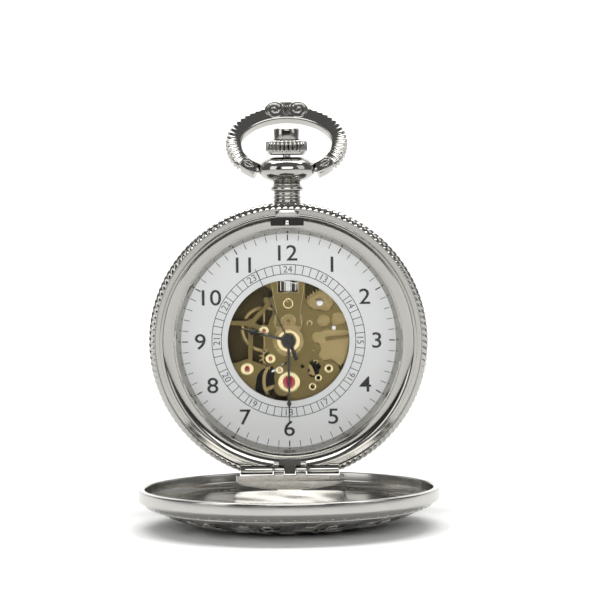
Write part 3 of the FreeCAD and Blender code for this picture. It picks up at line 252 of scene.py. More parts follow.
world = bpy.data.worlds.new("studio_room")
world.use_nodes = True
bpy.context.scene.world = world
room = world.node_tree.nodes["Background"]
room.inputs["Color"].default_value = (0.80, 0.81, 0.82, 1)
room.inputs["Strength"].default_value = 0.20

# %% [markdown]
# The camera is a long lens, nearly level, a little above the open cover's rim, so that the
# cover is seen almost edge on. The tiny roll is the watch's own slight tilt in the view.

# %% Camera
camera_data = bpy.data.cameras.new("camera")
camera_data.lens = 98.7
camera_data.sensor_width = 36.0
camera_data.clip_start = 0.01
camera = bpy.data.objects.new("camera", camera_data)
bpy.context.scene.collection.objects.link(camera)
camera_distance = 0.278
case_front = hinge_place.y
camera.matrix_world = (Matrix.Translation((0.0020, case_front - camera_distance, 0.0339))
                       @ Matrix.Rotation(math.pi / 2, 4, "X") @ Matrix.Rotation(math.radians(-0.6), 4, "Z"))
camera_data.shift_y = 0.0125
bpy.context.scene.camera = camera
bpy.context.scene.view_settings.view_transform = "Standard"
print("camera at", [round(c, 4) for c in camera.location])

# %% [markdown]
# No metal is one even grey. Handling leaves faint smears that change how sharp a reflection
# is, and a cloth leaves fine scratches. This is one shader group, placed in every metal with
# its own strength. It puts out only a roughness and a normal, and the shader stays outside.

# %% Handling group
def new_group(name, inputs, outputs):
    group = bpy.data.node_groups.new(name, "ShaderNodeTree")
    for label, kind, value in inputs:
        socket = group.interface.new_socket(label, in_out="INPUT", socket_type=kind)
        if value is not None:
            socket.default_value = value
    for label, kind in outputs:
        group.interface.new_socket(label, in_out="OUTPUT", socket_type=kind)
    ends = group.nodes.new("NodeGroupInput"), group.nodes.new("NodeGroupOutput")
    return group, ends[0].outputs, ends[1].inputs


def node(tree, kind, links=(), **settings):
    """A node with its settings, and with its inputs linked or given a value."""
    made = tree.nodes.new(kind)
    for name, value in settings.items():
        setattr(made, name, value)
    for key, value in dict(links).items():
        if isinstance(value, bpy.types.NodeSocket):
            tree.links.new(value, made.inputs[key])
        else:
            made.inputs[key].default_value = value
    return made


def handling_group():
    group, inside, outside = new_group(
        "handling",
        [("Roughness", "NodeSocketFloat", 0.1), ("Smear", "NodeSocketFloat", 0.06),
         ("Scratch", "NodeSocketFloat", 0.1), ("Size", "NodeSocketFloat", 180.0)],
        [("Roughness", "NodeSocketFloat"), ("Normal", "NodeSocketVector")])
    place = node(group, "ShaderNodeTexCoord").outputs["Object"]
    cloud = node(group, "ShaderNodeTexNoise", {"Vector": place, "Scale": inside["Size"], "Detail": 4.0})
    spread = node(group, "ShaderNodeMapRange", {
        "Value": cloud.outputs["Fac"], "From Min": 0.3, "From Max": 0.75, "To Max": inside["Smear"]})
    total = node(group, "ShaderNodeMath", {0: inside["Roughness"], 1: spread.outputs["Result"]},
                 operation="ADD")
    stretched = node(group, "ShaderNodeMapping", {"Vector": place, "Scale": (700.0, 9000.0, 3000.0),
                                                  "Rotation": (0.4, 0.7, 0.5)})
    lines = node(group, "ShaderNodeTexNoise", {
        "Vector": stretched.outputs["Vector"], "Scale": 1.0, "Detail": 2.0})
    bump = node(group, "ShaderNodeBump", {
        "Height": lines.outputs["Fac"], "Strength": inside["Scratch"], "Distance": 0.00001})
    group.links.new(total.outputs["Value"], outside["Roughness"])
    group.links.new(bump.outputs["Normal"], outside["Normal"])
    return group


handling = handling_group()
print("group outputs:", [s.name for s in handling.interface.items_tree if s.in_out == "OUTPUT"])

# %% [markdown]
# Each metal is a Principled shader at full metallic, with its own colour and its own share of
# the handling group. Case steel is nearly a mirror, the plates have a soft gilt grain, and
# the levers of the movement are finely brushed.

# %% Metals
def handled(name, colour, roughness, smear, scratch, size, settings):
    """A material that wears by the handling group."""
    finish = bpy.data.materials.new(name)
    finish.use_nodes = True
    tree = finish.node_tree
    shader = tree.nodes["Principled BSDF"]
    shader.inputs["Base Color"].default_value = (*colour, 1)
    for key, value in settings.items():
        shader.inputs[key].default_value = value
    wear = node(tree, "ShaderNodeGroup",
                {"Roughness": roughness, "Smear": smear, "Scratch": scratch, "Size": size},
                node_tree=handling)
    tree.links.new(wear.outputs["Roughness"], shader.inputs["Roughness"])
    tree.links.new(wear.outputs["Normal"], shader.inputs["Normal"])
    return finish


def metal(name, colour, roughness, smear=0.05, scratch=0.08, size=180.0):
    return handled(name, colour, roughness, smear, scratch, size, {"Metallic": 1.0})


case_steel = metal("case_steel", (0.43, 0.42, 0.395), 0.07, 0.05, 0.06)
satin_steel = metal("satin_steel", (0.55, 0.54, 0.52), 0.26, 0.10, 0.15)
spring_steel = metal("spring_steel", (0.10, 0.098, 0.092), 0.34, 0.12, 0.2)
# Near-black steel: the real blackening of the catch bracket, and painted shade on the inside of the back.
blackening_and_painted_shade = metal("blackening_and_painted_shade", (0.035, 0.034, 0.032), 0.42, 0.12, 0.2)
bright_steel = metal("bright_steel", (0.72, 0.72, 0.71), 0.14, 0.06, 0.1)
wheel_brass = metal("wheel_brass", (0.34, 0.26, 0.12), 0.22, 0.08, 0.15)
gilt = metal("gilt", (0.20, 0.155, 0.062), 0.34, 0.10, 0.25, 260.0)
# Gilt darkened as painted shade, for the bridges that lie deep behind the plate.
gilt_painted_shade = metal("gilt_painted_shade", (0.075, 0.058, 0.026), 0.42, 0.10, 0.2, 260.0)
gilt_edge = metal("gilt_edge", (0.80, 0.68, 0.38), 0.12, 0.04, 0.05)
print("finishes so far:", [finish.name for finish in bpy.data.materials])

# %% [markdown]
# Many CAD pieces already have the right shape, but their edges are perfectly sharp, and a
# real edge always has a small break that catches the light. So a copy of the node is merged,
# its flat faces are joined up again, and its sharp edges are bevelled. Pieces that only need
# a seat or a slot cut in them get it from boxes, with a Boolean that is applied at once.

# %% Copies, boxes and cuts
def flat_box(node_name):
    """A CAD node's lowest and highest corners in the watch's own frame."""
    corners = [flat @ vert.co for vert in nodes[node_name].data.vertices]
    return (Vector(min(c[i] for c in corners) for i in range(3)),
            Vector(max(c[i] for c in corners) for i in range(3)))


def node_mesh(node_name):
    """A CAD node as a merged bmesh in the watch's own frame, with its flat faces joined up."""
    bm = bmesh.new()
    bm.from_mesh(nodes[node_name].data)
    bmesh.ops.remove_doubles(bm, verts=bm.verts, dist=1e-7)
    bm.transform(flat)
    bmesh.ops.dissolve_limit(bm, angle_limit=math.radians(0.5), verts=bm.verts, edges=bm.edges,
                             use_dissolve_boundaries=False, delimit={"NORMAL"})
    return bm


def break_edges(bm, width, segments=2, angle=28.0, only=None):
    """Bevels every edge sharper than the angle. Returns the faces that this makes."""
    sharp = [edge for edge in bm.edges
             if len(edge.link_faces) == 2 and edge.calc_face_angle() > math.radians(angle)
             and (only is None or only(edge))]
    made = bmesh.ops.bevel(bm, geom=sharp, offset=width, offset_type="OFFSET", segments=segments,
                           profile=0.5, affect="EDGES", clamp_overlap=True, material=-1)
    return made["faces"]


def softened(node_name, material, body, width):
    """A bevelled copy that stands for the node."""
    bm = node_mesh(node_name)
    break_edges(bm, width)
    return finish_piece(node_name + "_piece", bm, material, body, [node_name], closed=False)


def boxes(*extents):
    """Boxes as one bmesh, each given as (x low, x high, y low, y high, z low, z high)."""
    bm = bmesh.new()
    for x1, x2, y1, y2, z1, z2 in extents:
        made = bmesh.ops.create_cube(bm, size=1.0)["verts"]
        bmesh.ops.scale(bm, verts=made, vec=(x2 - x1, y2 - y1, z2 - z1))
        bmesh.ops.translate(bm, verts=made, vec=((x1 + x2) / 2, (y1 + y2) / 2, (z1 + z2) / 2))
    return bm


def combine(bm, tool_bm, operation):
    """Two closed bmeshes made one, by DIFFERENCE, UNION or INTERSECT."""
    target, tool = objects = [make_object("cut_target", bm), make_object("cut_tool", tool_bm)]
    cut = target.modifiers.new("cut", "BOOLEAN")
    cut.operation, cut.solver, cut.object, cut.use_self = operation, "EXACT", tool, True
    bpy.context.view_layer.update()
    result = bmesh.new()
    result.from_object(target, bpy.context.evaluated_depsgraph_get())
    for made in objects:
        mesh = made.data
        bpy.data.objects.remove(made)
        bpy.data.meshes.remove(mesh)
    return result


def cut_boxes(bm, *extents):
    """The bmesh with the boxes cut out of it."""
    return combine(bm, boxes(*extents), "DIFFERENCE")


case_low, case_high = flat_box("case_middle")
bezel_low, bezel_high = flat_box("bezel")
notch_low, notch_high = flat_box("case_hinge_knuckles")
bracket_low, bracket_high = flat_box("catch_bracket")
catch_low, catch_high = flat_box("catch")
case_radius = case_high.x
chord_y = 21.77
hinge_seat = (notch_low.x - 0.1, notch_high.x + 0.1, -25, notch_high.y, notch_low.z - 0.05, 1)
catch_seat = (catch_low.x + 0.4, catch_high.x - 0.4, bracket_high.y, catch_high.y + 0.1,
              catch_low.z - 0.2, 1)
print("case radius", round(case_radius, 3), "mm, bezel radius", round(bezel_high.x, 3), "mm")

# %% [markdown]
# The case middle is a turned ring whose outside is reeded, like the edge of a coin: about 138
# slanted grooves run round it and over its two rounded shoulders. The ring is a profile spun
# all the way round, with six points to a reed, and each point of the band is then moved in
# or out by a cosine of its angle. The seats for the hinge and the catch are cut last.

# %% Reeded case middle
reed_count = 138
shoulder = 1.0
reed_depth = 0.13
reed_slant = math.tan(math.radians(32))


def band_place(radius, height):
    """How far along the band a point is, and which way the band faces there."""
    lower = case_low.z + shoulder
    if height > -shoulder:
        out = Vector((radius - case_radius + shoulder, height + shoulder))
        return shoulder * math.atan2(out.x, out.y), out.normalized()
    start = shoulder * math.pi / 2
    if height < lower:
        out = Vector((radius - case_radius + shoulder, height - lower))
        return start - lower - shoulder + shoulder * math.atan2(-out.y, out.x), out.normalized()
    return start - shoulder - height, Vector((1, 0))


def reeded_ring():
    seat = flat_box("rehaut")[1].x + 0.05
    groove = 22.4
    corners = [(seat, -0.8), (groove, -0.8), (groove, 0), (case_radius, 0),
               (case_radius, case_low.z), (seat, case_low.z)]
    profile = rounded(corners, [0, 0, 0.12, shoulder, shoulder, 0], 7)
    bm = profile_mesh(profile, reed_count * 6)
    bmesh.ops.recalc_face_normals(bm, faces=bm.faces)
    band = [v for v in bm.verts if v.co.xy.length > case_radius - shoulder + 0.02]
    pitch = math.tau * case_radius / reed_count
    for vert in band:
        radius, turn = vert.co.xy.length, math.atan2(vert.co.y, vert.co.x)
        along, out = band_place(radius, vert.co.z)
        wave = math.cos(reed_count * turn + along * reed_slant * math.tau / pitch)
        depth = reed_depth * (0.5 - 0.5 * wave) ** 1.6 * min(1.0, along / 0.35)
        moved = radius - out.x * depth
        vert.co = Vector((moved * math.cos(turn), moved * math.sin(turn), vert.co.z - out.y * depth))
    return cut_boxes(bm, (-25, 25, -25, -chord_y, case_low.z - 1, 1), hinge_seat, catch_seat)


band = finish_piece("case_band", reeded_ring(), case_steel, "case",
                    ["case_middle"], sharp=55.0)
print("band triangles", sum(len(p.vertices) - 2 for p in band.data.polygons))

# %% [markdown]
# The bezel is snapped on the front of the case. From outside in it is a groove, a bright lip
# and a hollow slope down to the crystal, and below the crystal a steep polished wall drops
# to the dial. All three are turned, so each is one profile spun with many steps, because a
# mirror finish shows every flat.

# %% Bezel and rehaut
def bezel_ring():
    inner = flat_box("crystal")[1].x + 0.05
    lip, top = bezel_high.x, bezel_high.z
    slope = [(lip - 0.5 - 1.8 * (1 - math.cos(a)), top - 0.72 * math.sin(a)) for a in quarter(14)]
    corners = rounded([(lip - 0.5, top), (lip, top), (lip, -0.8)], [0, 0.16, 0], 5)[:-1]
    profile = slope[::-1] + corners[1:] + [(lip, -0.8), (20.4, -0.8), (20.4, -1.5), (inner, -1.5)]
    bm = profile_mesh(profile, 288)
    bmesh.ops.recalc_face_normals(bm, faces=bm.faces)
    return cut_boxes(
        bm, hinge_seat, catch_seat,
        (bracket_low.x, bracket_high.x, bracket_low.y, bracket_high.y + 0.01, bracket_low.z, 1),
        (bracket_low.x, bracket_high.x, -25, -bracket_low.y, -0.35, 1))


def rehaut_ring():
    low, high = flat_box("rehaut")
    return profile_mesh([(18.2, low.z), (high.x, low.z), (high.x, high.z), (19.0, high.z),
                         (18.85, high.z - 0.25), (18.5, high.z - 0.75)], 288)


finish_piece("bezel_ring", bezel_ring(), case_steel, "case", ["bezel"])
finish_piece("rehaut_ring", rehaut_ring(), case_steel, "case", ["rehaut"])
print("bezel height", round(bezel_high.z, 2), "mm over the seat")

# %% [markdown]
# The crystal is a thin flat disc with a small chamfer. Clear mineral glass this thin hardly
# shows from the front, so the material is glass with a low alpha, which keeps the faint
# reflection and lets the light through to the dial.

# %% Crystal
crystal_glass = bpy.data.materials.new("crystal_glass")
crystal_glass.use_nodes = True
glass = crystal_glass.node_tree.nodes["Principled BSDF"]
glass.inputs["Base Color"].default_value = (0.98, 0.99, 0.99, 1)
glass.inputs["Roughness"].default_value = 0.02
glass.inputs["IOR"].default_value = 1.45
glass.inputs["Transmission Weight"].default_value = 1.0
glass.inputs["Alpha"].default_value = 0.10


glass_low, glass_high = flat_box("crystal")
glass_edge = 0.12
disc = profile_mesh([(0, glass_low.z), (glass_high.x, glass_low.z),
                     (glass_high.x, glass_high.z - glass_edge),
                     (glass_high.x - glass_edge, glass_high.z), (0, glass_high.z)], 192, close=False)
finish_piece("crystal_disc", disc, crystal_glass, "case", ["crystal"])
print("crystal thickness", round(glass_high.z - glass_low.z, 2), "mm")

# %% [markdown]
# The dial is a white enamelled ring with a large window. Everything printed on it is a thin
# raised layer of ink: sixty minute marks, the hours, and a second ring for the 24 hours with
# its numbers in boxes. All of it is one piece, built from flat bars, rings and text, so it
# has a real edge and stays sharp from any distance.

# %% Dial and inks
def paint(name, colour, roughness, coat=0.0):
    return handled(name, colour, roughness, 0.08, 0.04, 400.0,
                   {"Coat Weight": coat, "Coat Roughness": 0.08})


enamel = paint("white_enamel", (0.74, 0.75, 0.745), 0.35, 0.3)
ink = paint("black_ink", (0.018, 0.018, 0.02), 0.45)
grey_ink = paint("grey_ink", (0.05, 0.05, 0.055), 0.5)

dial_low, dial_high = flat_box("dial")
window_radius = 10.3
dial_face = dial_high.z
ink_height = 0.02


dial_profile = rounded([(window_radius, dial_low.z), (dial_high.x, dial_low.z),
                        (dial_high.x, dial_face), (window_radius, dial_face)], [0, 0, 0.05, 0.12], 4)
finish_piece("dial_plate", profile_mesh(dial_profile), enamel, "case", ["dial"])
print("dial", round(dial_high.x * 2, 1), "mm across")

# %% Printing tools
def flat_ring(bm, inner, outer):
    top = dial_face + ink_height
    turn_profile(bm, [(inner, dial_face), (outer, dial_face), (outer, top), (inner, top)], 192)


def flat_bar(bm, turn, inner, outer, width):
    """A mark along a radius, turned clockwise from 12 by an angle in degrees."""
    made = bmesh.ops.create_cube(bm, size=1.0)["verts"]
    bmesh.ops.scale(bm, verts=made, vec=(width, outer - inner, ink_height))
    bmesh.ops.translate(bm, verts=made, vec=(0, (inner + outer) / 2, dial_face + ink_height / 2))
    bmesh.ops.rotate(bm, verts=made, matrix=Matrix.Rotation(-math.radians(turn), 3, "Z"))


def drawn_mesh(name, data):
    """The mesh that a curve or a text gives. Both are thrown away."""
    drawn = bpy.data.objects.new(name, data)
    bpy.context.scene.collection.objects.link(drawn)
    bpy.context.view_layer.update()
    shape = drawn.evaluated_get(bpy.context.evaluated_depsgraph_get())
    mesh = bpy.data.meshes.new_from_object(shape)
    bpy.data.objects.remove(drawn)
    return mesh


def printed_text(bm, words, size, radius, turn, tilt=0.0, stretch=1.0, weight=0.0):
    """A number centred at a radius, at a clockwise angle from 12, itself turned by tilt."""
    letters = bpy.data.curves.new("letters", "FONT")
    letters.body = words
    letters.size = size
    letters.align_x, letters.align_y = "CENTER", "CENTER"
    letters.extrude = ink_height / 2
    letters.offset = weight
    letters.resolution_u = 5
    mesh = drawn_mesh("letters", letters)
    x, y = ((min(v.co[i] for v in mesh.vertices) + max(v.co[i] for v in mesh.vertices)) / 2
            for i in (0, 1))
    angle = math.radians(90 - turn)
    spot = (radius * math.cos(angle), radius * math.sin(angle), dial_face + ink_height / 2)
    place = (Matrix.Translation(spot) @ Matrix.Rotation(math.radians(tilt), 4, "Z")
             @ Matrix.Diagonal((stretch, 1, 1, 1)) @ Matrix.Translation((-x, -y, 0)))
    mesh.transform(place)
    bm.from_mesh(mesh)
    bpy.data.meshes.remove(mesh)


print("printing tools ready")

# %% Print the hours and minutes
hours_print = bmesh.new()
for minute in range(60):
    flat_bar(hours_print, minute * 6, 17.05, 18.05, 0.2 if minute % 5 == 0 else 0.11)
for hour in range(1, 13):
    printed_text(hours_print, str(hour), 3.75, 14.95, hour * 30, stretch=1.12, weight=0.02)
finish_piece("hours_print", hours_print, ink, "case", closed=False)

# %% Print the 24 hour ring
day_ring_inner, day_ring_outer = 11.4, 12.98
ring_print = bmesh.new()
for radius in (day_ring_inner, day_ring_outer):
    flat_ring(ring_print, radius - 0.06, radius + 0.06)
for hour in range(12):
    for offset in (-6, 6, 12, 18):
        flat_bar(ring_print, hour * 30 + offset, day_ring_inner, day_ring_outer, 0.12)
for hour in range(13, 25):
    turn = (hour - 12) * 30 % 360
    inward = 90 < turn < 270
    printed_text(ring_print, str(hour), 1.6, (day_ring_inner + day_ring_outer) / 2, turn,
                 tilt=-turn + (180 if inward else 0), weight=-0.004)
finish_piece("day_ring_print", ring_print, grey_ink, "case", closed=False)
print("printed the 24 hour ring between", day_ring_inner, "and", day_ring_outer, "mm")

# %% [markdown]
# The hands are stamped from thin steel and blackened. The CAD outline is right, so each hand
# is a softened copy. A small polished cap covers the arbor in the middle.

# %% Hands
hand_black = paint("hand_black", (0.012, 0.012, 0.013), 0.28, 0.2)
softened("hour_hand", hand_black, "hour", 0.03)
softened("minute_hand", hand_black, "cannon", 0.03)
softened("seconds_hand", hand_black, "fourth_wheel", 0.02)


cap_radius = 0.42
top = flat_box("seconds_hand")[1].z
dome = [(cap_radius * math.sin(a), top - 0.02 + 0.10 * math.cos(a)) for a in quarter(8)]
cap = profile_mesh(dome + [(cap_radius, top - 0.05), (0, top - 0.05)], 48, close=False)
finish_piece("hand_cap", cap, hand_black, "fourth_wheel")
print("seconds hand lies at", round(top, 2), "mm")

# %% [markdown]
# Behind the window is the dial side of the movement. A skeletonised plate is sawn and filed
# by hand: its faces are matt gilt, and every inside corner has a narrow polished bevel that
# shines. The bevel is what makes it look right, so the plate is a merged copy of the node,
# bevelled on its front edges only, and the new faces get the brighter finish.

# %% Main plate and bridges
def two_tone(node_name, width, side=1, finishes=None):
    """A gilt copy whose front bevels, or its back ones when side is 0, are brighter."""
    bm = node_mesh(node_name)
    level = flat_box(node_name)[side].z
    shiny = break_edges(bm, width, 2, 50.0,
                        only=lambda edge: all(abs(vert.co.z - level) < 0.02 for vert in edge.verts))
    for face in bm.faces:
        face.material_index = 0
    for face in shiny:
        if face.is_valid:
            face.material_index = 1
    return finish_piece(node_name + "_piece", bm, finishes or [gilt, gilt_edge], "case",
                        [node_name], closed=False, sharp=20.0)


plate = two_tone("main_plate", 0.10)
two_tone("setting_bridge", 0.07)
print("plate bevels:", sum(p.material_index for p in plate.data.polygons), "faces")

# %% [markdown]
# The pendant is the neck that the stem comes out of. It is turned from one bar: fine rings at
# its foot, a collar, and a flattened ball whose sides hold the pins of the bow.

# %% Pendant
stem_z = -5.5
about_stem = {"axis": (0, 1, 0), "centre": (0, 0, stem_z)}
ball_y = (flat @ Vector(joints["bow_pivot"]["pos_m"])).y


def bead(middle, half, height, base, steps=8):
    """A raised ring on a turned neck."""
    return [(base + height * math.sin(a), middle - half * math.cos(a))
            for a in (math.pi * i / steps for i in range(steps + 1))]


def pendant_body():
    neck, bore = 2.2, 1.0
    ball = [(4.85 * math.cos(a) ** 0.82, ball_y + 2.35 * math.sin(a))
            for a in (math.radians(-62 + 124 * i / 28) for i in range(29))]
    profile = [(bore, 22.0), (neck, 22.0), (neck, 23.3)]
    for middle, half, height in ((23.62, 0.26, 0.16), (24.22, 0.26, 0.18), (24.82, 0.22, 0.12),
                                 (25.7, 0.52, 0.55), (26.42, 0.18, 0.22)):
        profile += bead(middle, half, height, neck)
    return profile_mesh(profile + ball + [(bore, ball[-1][1])], 160, **about_stem)


finish_piece("pendant_turned", pendant_body(), case_steel, "case", ["pendant"])
print("ball at", round(ball_y, 2), "mm from the middle of the dial")

# %% [markdown]
# The crown has 28 rounded ribs that give the fingers a grip, and a smooth collar below them.
# As with the reeded band, it is spun with several steps to a rib and then pushed in between
# the ribs. The push-piece that opens the cover is a smooth button in the crown's top.

# %% Crown and push-piece
def crown_body():
    ribs, foot, brow = 28, 31.95, 33.72
    outside = [(2.5, 31.36), (3.05, 31.42), (3.24, 31.62), (3.24, foot), (3.5, foot + 0.14),
               (3.5, foot + 0.3), (3.5, 32.8), (3.5, brow - 0.3), (3.38, brow - 0.08),
               (3.05, brow + 0.08), (2.35, 34.0)]
    profile = [(0.75, 31.36)] + outside + [(2.2, 33.9), (2.2, 33.0), (0.75, 33.0)]
    bm = profile_mesh(profile, ribs * 10, **about_stem)
    for vert in bm.verts:
        offset = vert.co - Vector(about_stem["centre"])
        radius, turn = math.hypot(offset.x, offset.z), math.atan2(offset.z, offset.x)
        if radius > 2.9 and vert.co.y > foot + 0.05:
            depth = 0.46 * (1 - abs(math.cos(ribs * turn / 2)) ** 0.7)
            share = (radius - depth) / radius
            vert.co.x, vert.co.z = offset.x * share, stem_z + offset.z * share
    return bm


def button_body():
    low, high = flat_box("crown")[1].y + 0.02, flat_box("release_button")[1].y
    radius = flat_box("release_button")[1].x
    profile = rounded([(0, low), (radius, low), (radius, high), (0, high)], [0, 0.05, 0.4, 0], 6)
    bm = profile_mesh(profile[:-1] + [(0.0, high)], 96, close=False, **about_stem)
    rod = [(0, 26.2), (0.35, 26.2), (0.35, low), (0, low)]
    turn_profile(bm, rod, 32, close=False, **about_stem)
    return bm


finish_piece("crown_fluted", crown_body(), case_steel, "crown", ["crown"], sharp=60.0)
finish_piece("push_piece", button_body(), case_steel, "release_button",
             ["release_button"])
print("crown has 28 ribs")

# %% [markdown]
# The bow is cast: an oval ring with a flat face, whose outer edge is notched like a rope. The
# notches are small at the top and deep at the sides. At the top two volutes curl away from a
# leaf, and both ends finish in plain blocks with a leaf on them. The ring starts as a rounded
# section spun through most of a turn, and its points are then laid along the oval. The curls
# are round wires, half sunk in the face, made from curves.

# %% Bow tools
bow_tilt = (Matrix.Translation((0, ball_y, stem_z)) @ Matrix.Rotation(math.radians(-32), 4, "X"))
bow_middle_y, bow_half_x, bow_half_y = 4.9, 9.05, 6.2


def oval_point(turn, out=0.0):
    """A point on the bow's middle line, moved outwards by out."""
    place = Vector((bow_half_x * math.cos(turn), bow_middle_y + bow_half_y * math.sin(turn)))
    normal = Vector((math.cos(turn) / bow_half_x, math.sin(turn) / bow_half_y)).normalized()
    return place + normal * out


def add_wire(bm, points, thickness, cyclic=False, resolution=3, taper=False):
    """A round wire along a smooth line through control points, added to bm as a closed mesh."""
    line = bpy.data.curves.new("wire", "CURVE")
    line.dimensions = "3D"
    line.bevel_depth = thickness
    line.bevel_resolution = resolution
    line.use_fill_caps = True
    line.resolution_u = 4
    spline = line.splines.new("NURBS")
    spline.points.add(len(points) - 1)
    for i, (knot, point) in enumerate(zip(spline.points, points)):
        knot.co = (*point, 1)
        knot.radius = max(0.25, math.sin(math.pi * (i + 0.5) / len(points))) if taper else 1.0
    spline.order_u = 4 if len(points) > 3 else 3
    spline.use_endpoint_u = not cyclic
    spline.use_cyclic_u = cyclic
    mesh = drawn_mesh("wire", line)
    bm.from_mesh(mesh)
    bpy.data.meshes.remove(mesh)


def curl(centre_x, centre_y, level, start, end, first, last, side=1, steps=16):
    """Points of a spiral from radius first to radius last, mirrored when side is -1."""
    points = []
    for i in range(steps + 1):
        share = i / steps
        turn = math.radians(start + (end - start) * share)
        radius = first + (last - first) * share
        points.append((side * (centre_x + radius * math.cos(turn)),
                       centre_y + radius * math.sin(turn), level))
    return points


print("bow tools ready")

# %% Bow ring
def bow_ring():
    half_width, half_depth, edge = 1.35, 0.95, 0.32
    start, end = math.radians(-56), math.radians(236)
    section = rounded([(-half_width, -half_depth), (half_width, -half_depth), (half_width, half_depth),
                       (-half_width, half_depth)], [edge] * 4, 4)
    bm = bmesh.new()
    verts = [bm.verts.new((10 + x, 0, z)) for x, z in section]
    ring = [bm.edges.new(pair) for pair in zip(verts, verts[1:] + verts[:1])]
    bm.faces.new(verts)
    bmesh.ops.spin(bm, geom=verts + ring, cent=(0, 0, 0), axis=(0, 0, 1), angle=end - start, steps=300)
    bmesh.ops.rotate(bm, verts=bm.verts, matrix=Matrix.Rotation(start, 3, "Z"))
    bmesh.ops.remove_doubles(bm, verts=bm.verts, dist=1e-5)
    bmesh.ops.holes_fill(bm, edges=[e for e in bm.edges if len(e.link_faces) == 1], sides=0)
    for vert in bm.verts:
        turn = math.atan2(vert.co.y, vert.co.x)
        out, height = vert.co.xy.length - 10, vert.co.z
        from_top = abs((math.degrees(turn) - 90 + 180) % 360 - 180)
        growth = min(1.0, from_top / 105)
        notch = 0.5 + 0.5 * math.cos(turn * 58)
        if 14 < from_top < 126:
            reach = max(0.0, (out - 0.75 + 1.1 * growth) / (half_width - 0.75 + 1.1 * growth))
            out -= notch ** 1.5 * (0.08 + 0.16 * growth) * (out > 0.9)
            height -= math.copysign(notch ** 1.5 * (0.05 + 0.24 * growth ** 2) * min(1.0, reach), height)
        if from_top > 128:
            out, height = out * 0.86, height * 1.12
        elif from_top > 124:
            out, height = out * 0.72, height * 0.8
        place = oval_point(turn, out)
        vert.co = (place.x, place.y, height)
    return bm


bow = bow_ring()
for side in (-1, 1):
    volute = bmesh.ops.create_cone(bow, cap_ends=True, segments=48, radius1=1.75, radius2=1.75,
                                   depth=1.96)["verts"]
    bmesh.ops.translate(bow, verts=volute, vec=(side * 2.0, 11.55, 0))
    rims = {e for v in volute for e in v.link_edges
            if len(e.link_faces) == 2 and e.calc_face_angle() > 0.6}
    bmesh.ops.bevel(bow, geom=list(rims), offset=0.22, offset_type="OFFSET", segments=3, profile=0.5,
                    affect="EDGES", clamp_overlap=True, material=-1)
    for level in (-0.98, 0.98):
        add_wire(bow, curl(2.0, 11.55, level, -60, 560, 1.42, 0.12, side, 26), 0.17)
        for out in (-0.55, 0.0, 0.55):
            bend = [oval_point(math.radians(-36 - 16 * i / 6), out * math.sin(math.pi * i / 6))
                    for i in range(7)]
            add_wire(bow, [(side * p.x, p.y, level * 1.09) for p in bend], 0.12, taper=True)
bridge = bmesh.ops.create_cube(bow, size=1.0)["verts"]
bmesh.ops.scale(bow, verts=bridge, vec=(3.6, 2.2, 1.84))
bmesh.ops.translate(bow, verts=bridge, vec=(0, 11.95, 0))
for level in (-0.95, 0.95):
    for lean in (-0.75, -0.35, 0.0, 0.35, 0.75):
        leaf = [(lean * 0.25, 10.2, level), (lean * 0.5, 11.2, level * 1.04),
                (lean, 12.3, level * 1.02), (lean * 1.25, 12.95, level * 0.98)]
        add_wire(bow, leaf, 0.16, taper=True)
for side in (-1, 1):
    pin_place = Matrix.Translation((side * 4.6, 0, 0)) @ Matrix.Rotation(math.pi / 2, 4, "Y")
    bmesh.ops.create_cone(bow, cap_ends=True, segments=24, radius1=0.5, radius2=0.5, depth=1.6,
                          matrix=pin_place)
bow_piece = finish_piece("bow_cast", bow, case_steel, "bow", ["bow"],
                         place=stand @ bow_tilt, sharp=50.0)
print("bow triangles", sum(len(p.vertices) - 2 for p in bow_piece.data.polygons))

# %% [markdown]
# The front cover is stamped from sheet, so its inside follows its outside a little. The
# outside carries a relief of scrolls round a plain medallion, with the ground between them
# darkened so that the relief stands out. The shell is spun from a fine profile, its relief
# ground is pressed in by moving points, and the scrolls are wires half sunk in the dome. A
# flat wall closes the inside where the hinge sits.

# %% Cover shell
cover_low, cover_high = (Vector(corner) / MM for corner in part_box("front_cover"))
medallion, dome_foot = 8.0, 4.2
dome_run = case_radius - 0.2 - medallion
dome_round = (dome_run ** 2 + dome_foot ** 2) / (2 * dome_foot)
petals = 12


def dome_height(radius):
    """Height of the cover's outside over the table."""
    if radius <= medallion:
        return 0.0
    return dome_round - math.sqrt(dome_round ** 2 - (radius - medallion) ** 2)


def relief(radius, turn):
    """How deep the ground is pressed in between the scrolls."""
    if not medallion + 0.6 < radius < case_radius - 1.5:
        return 0.0
    share = (radius - medallion - 0.6) / (case_radius - 2.1 - medallion)
    band_edge = min(1.0, 5 * min(share, 1 - share))
    wave = math.cos(petals * turn + 2.2 * math.sin(math.tau * share)) * math.sin(math.pi * share * 2.5)
    return 0.20 * band_edge * (0.5 + 0.5 * wave)


def dome_points(steps, stop, lift=0.0):
    """Profile points of the dome, in even steps from the medallion out."""
    places = [medallion + dome_run * i / steps for i in range(1, stop)]
    return [(radius, dome_height(radius) + lift) for radius in places]


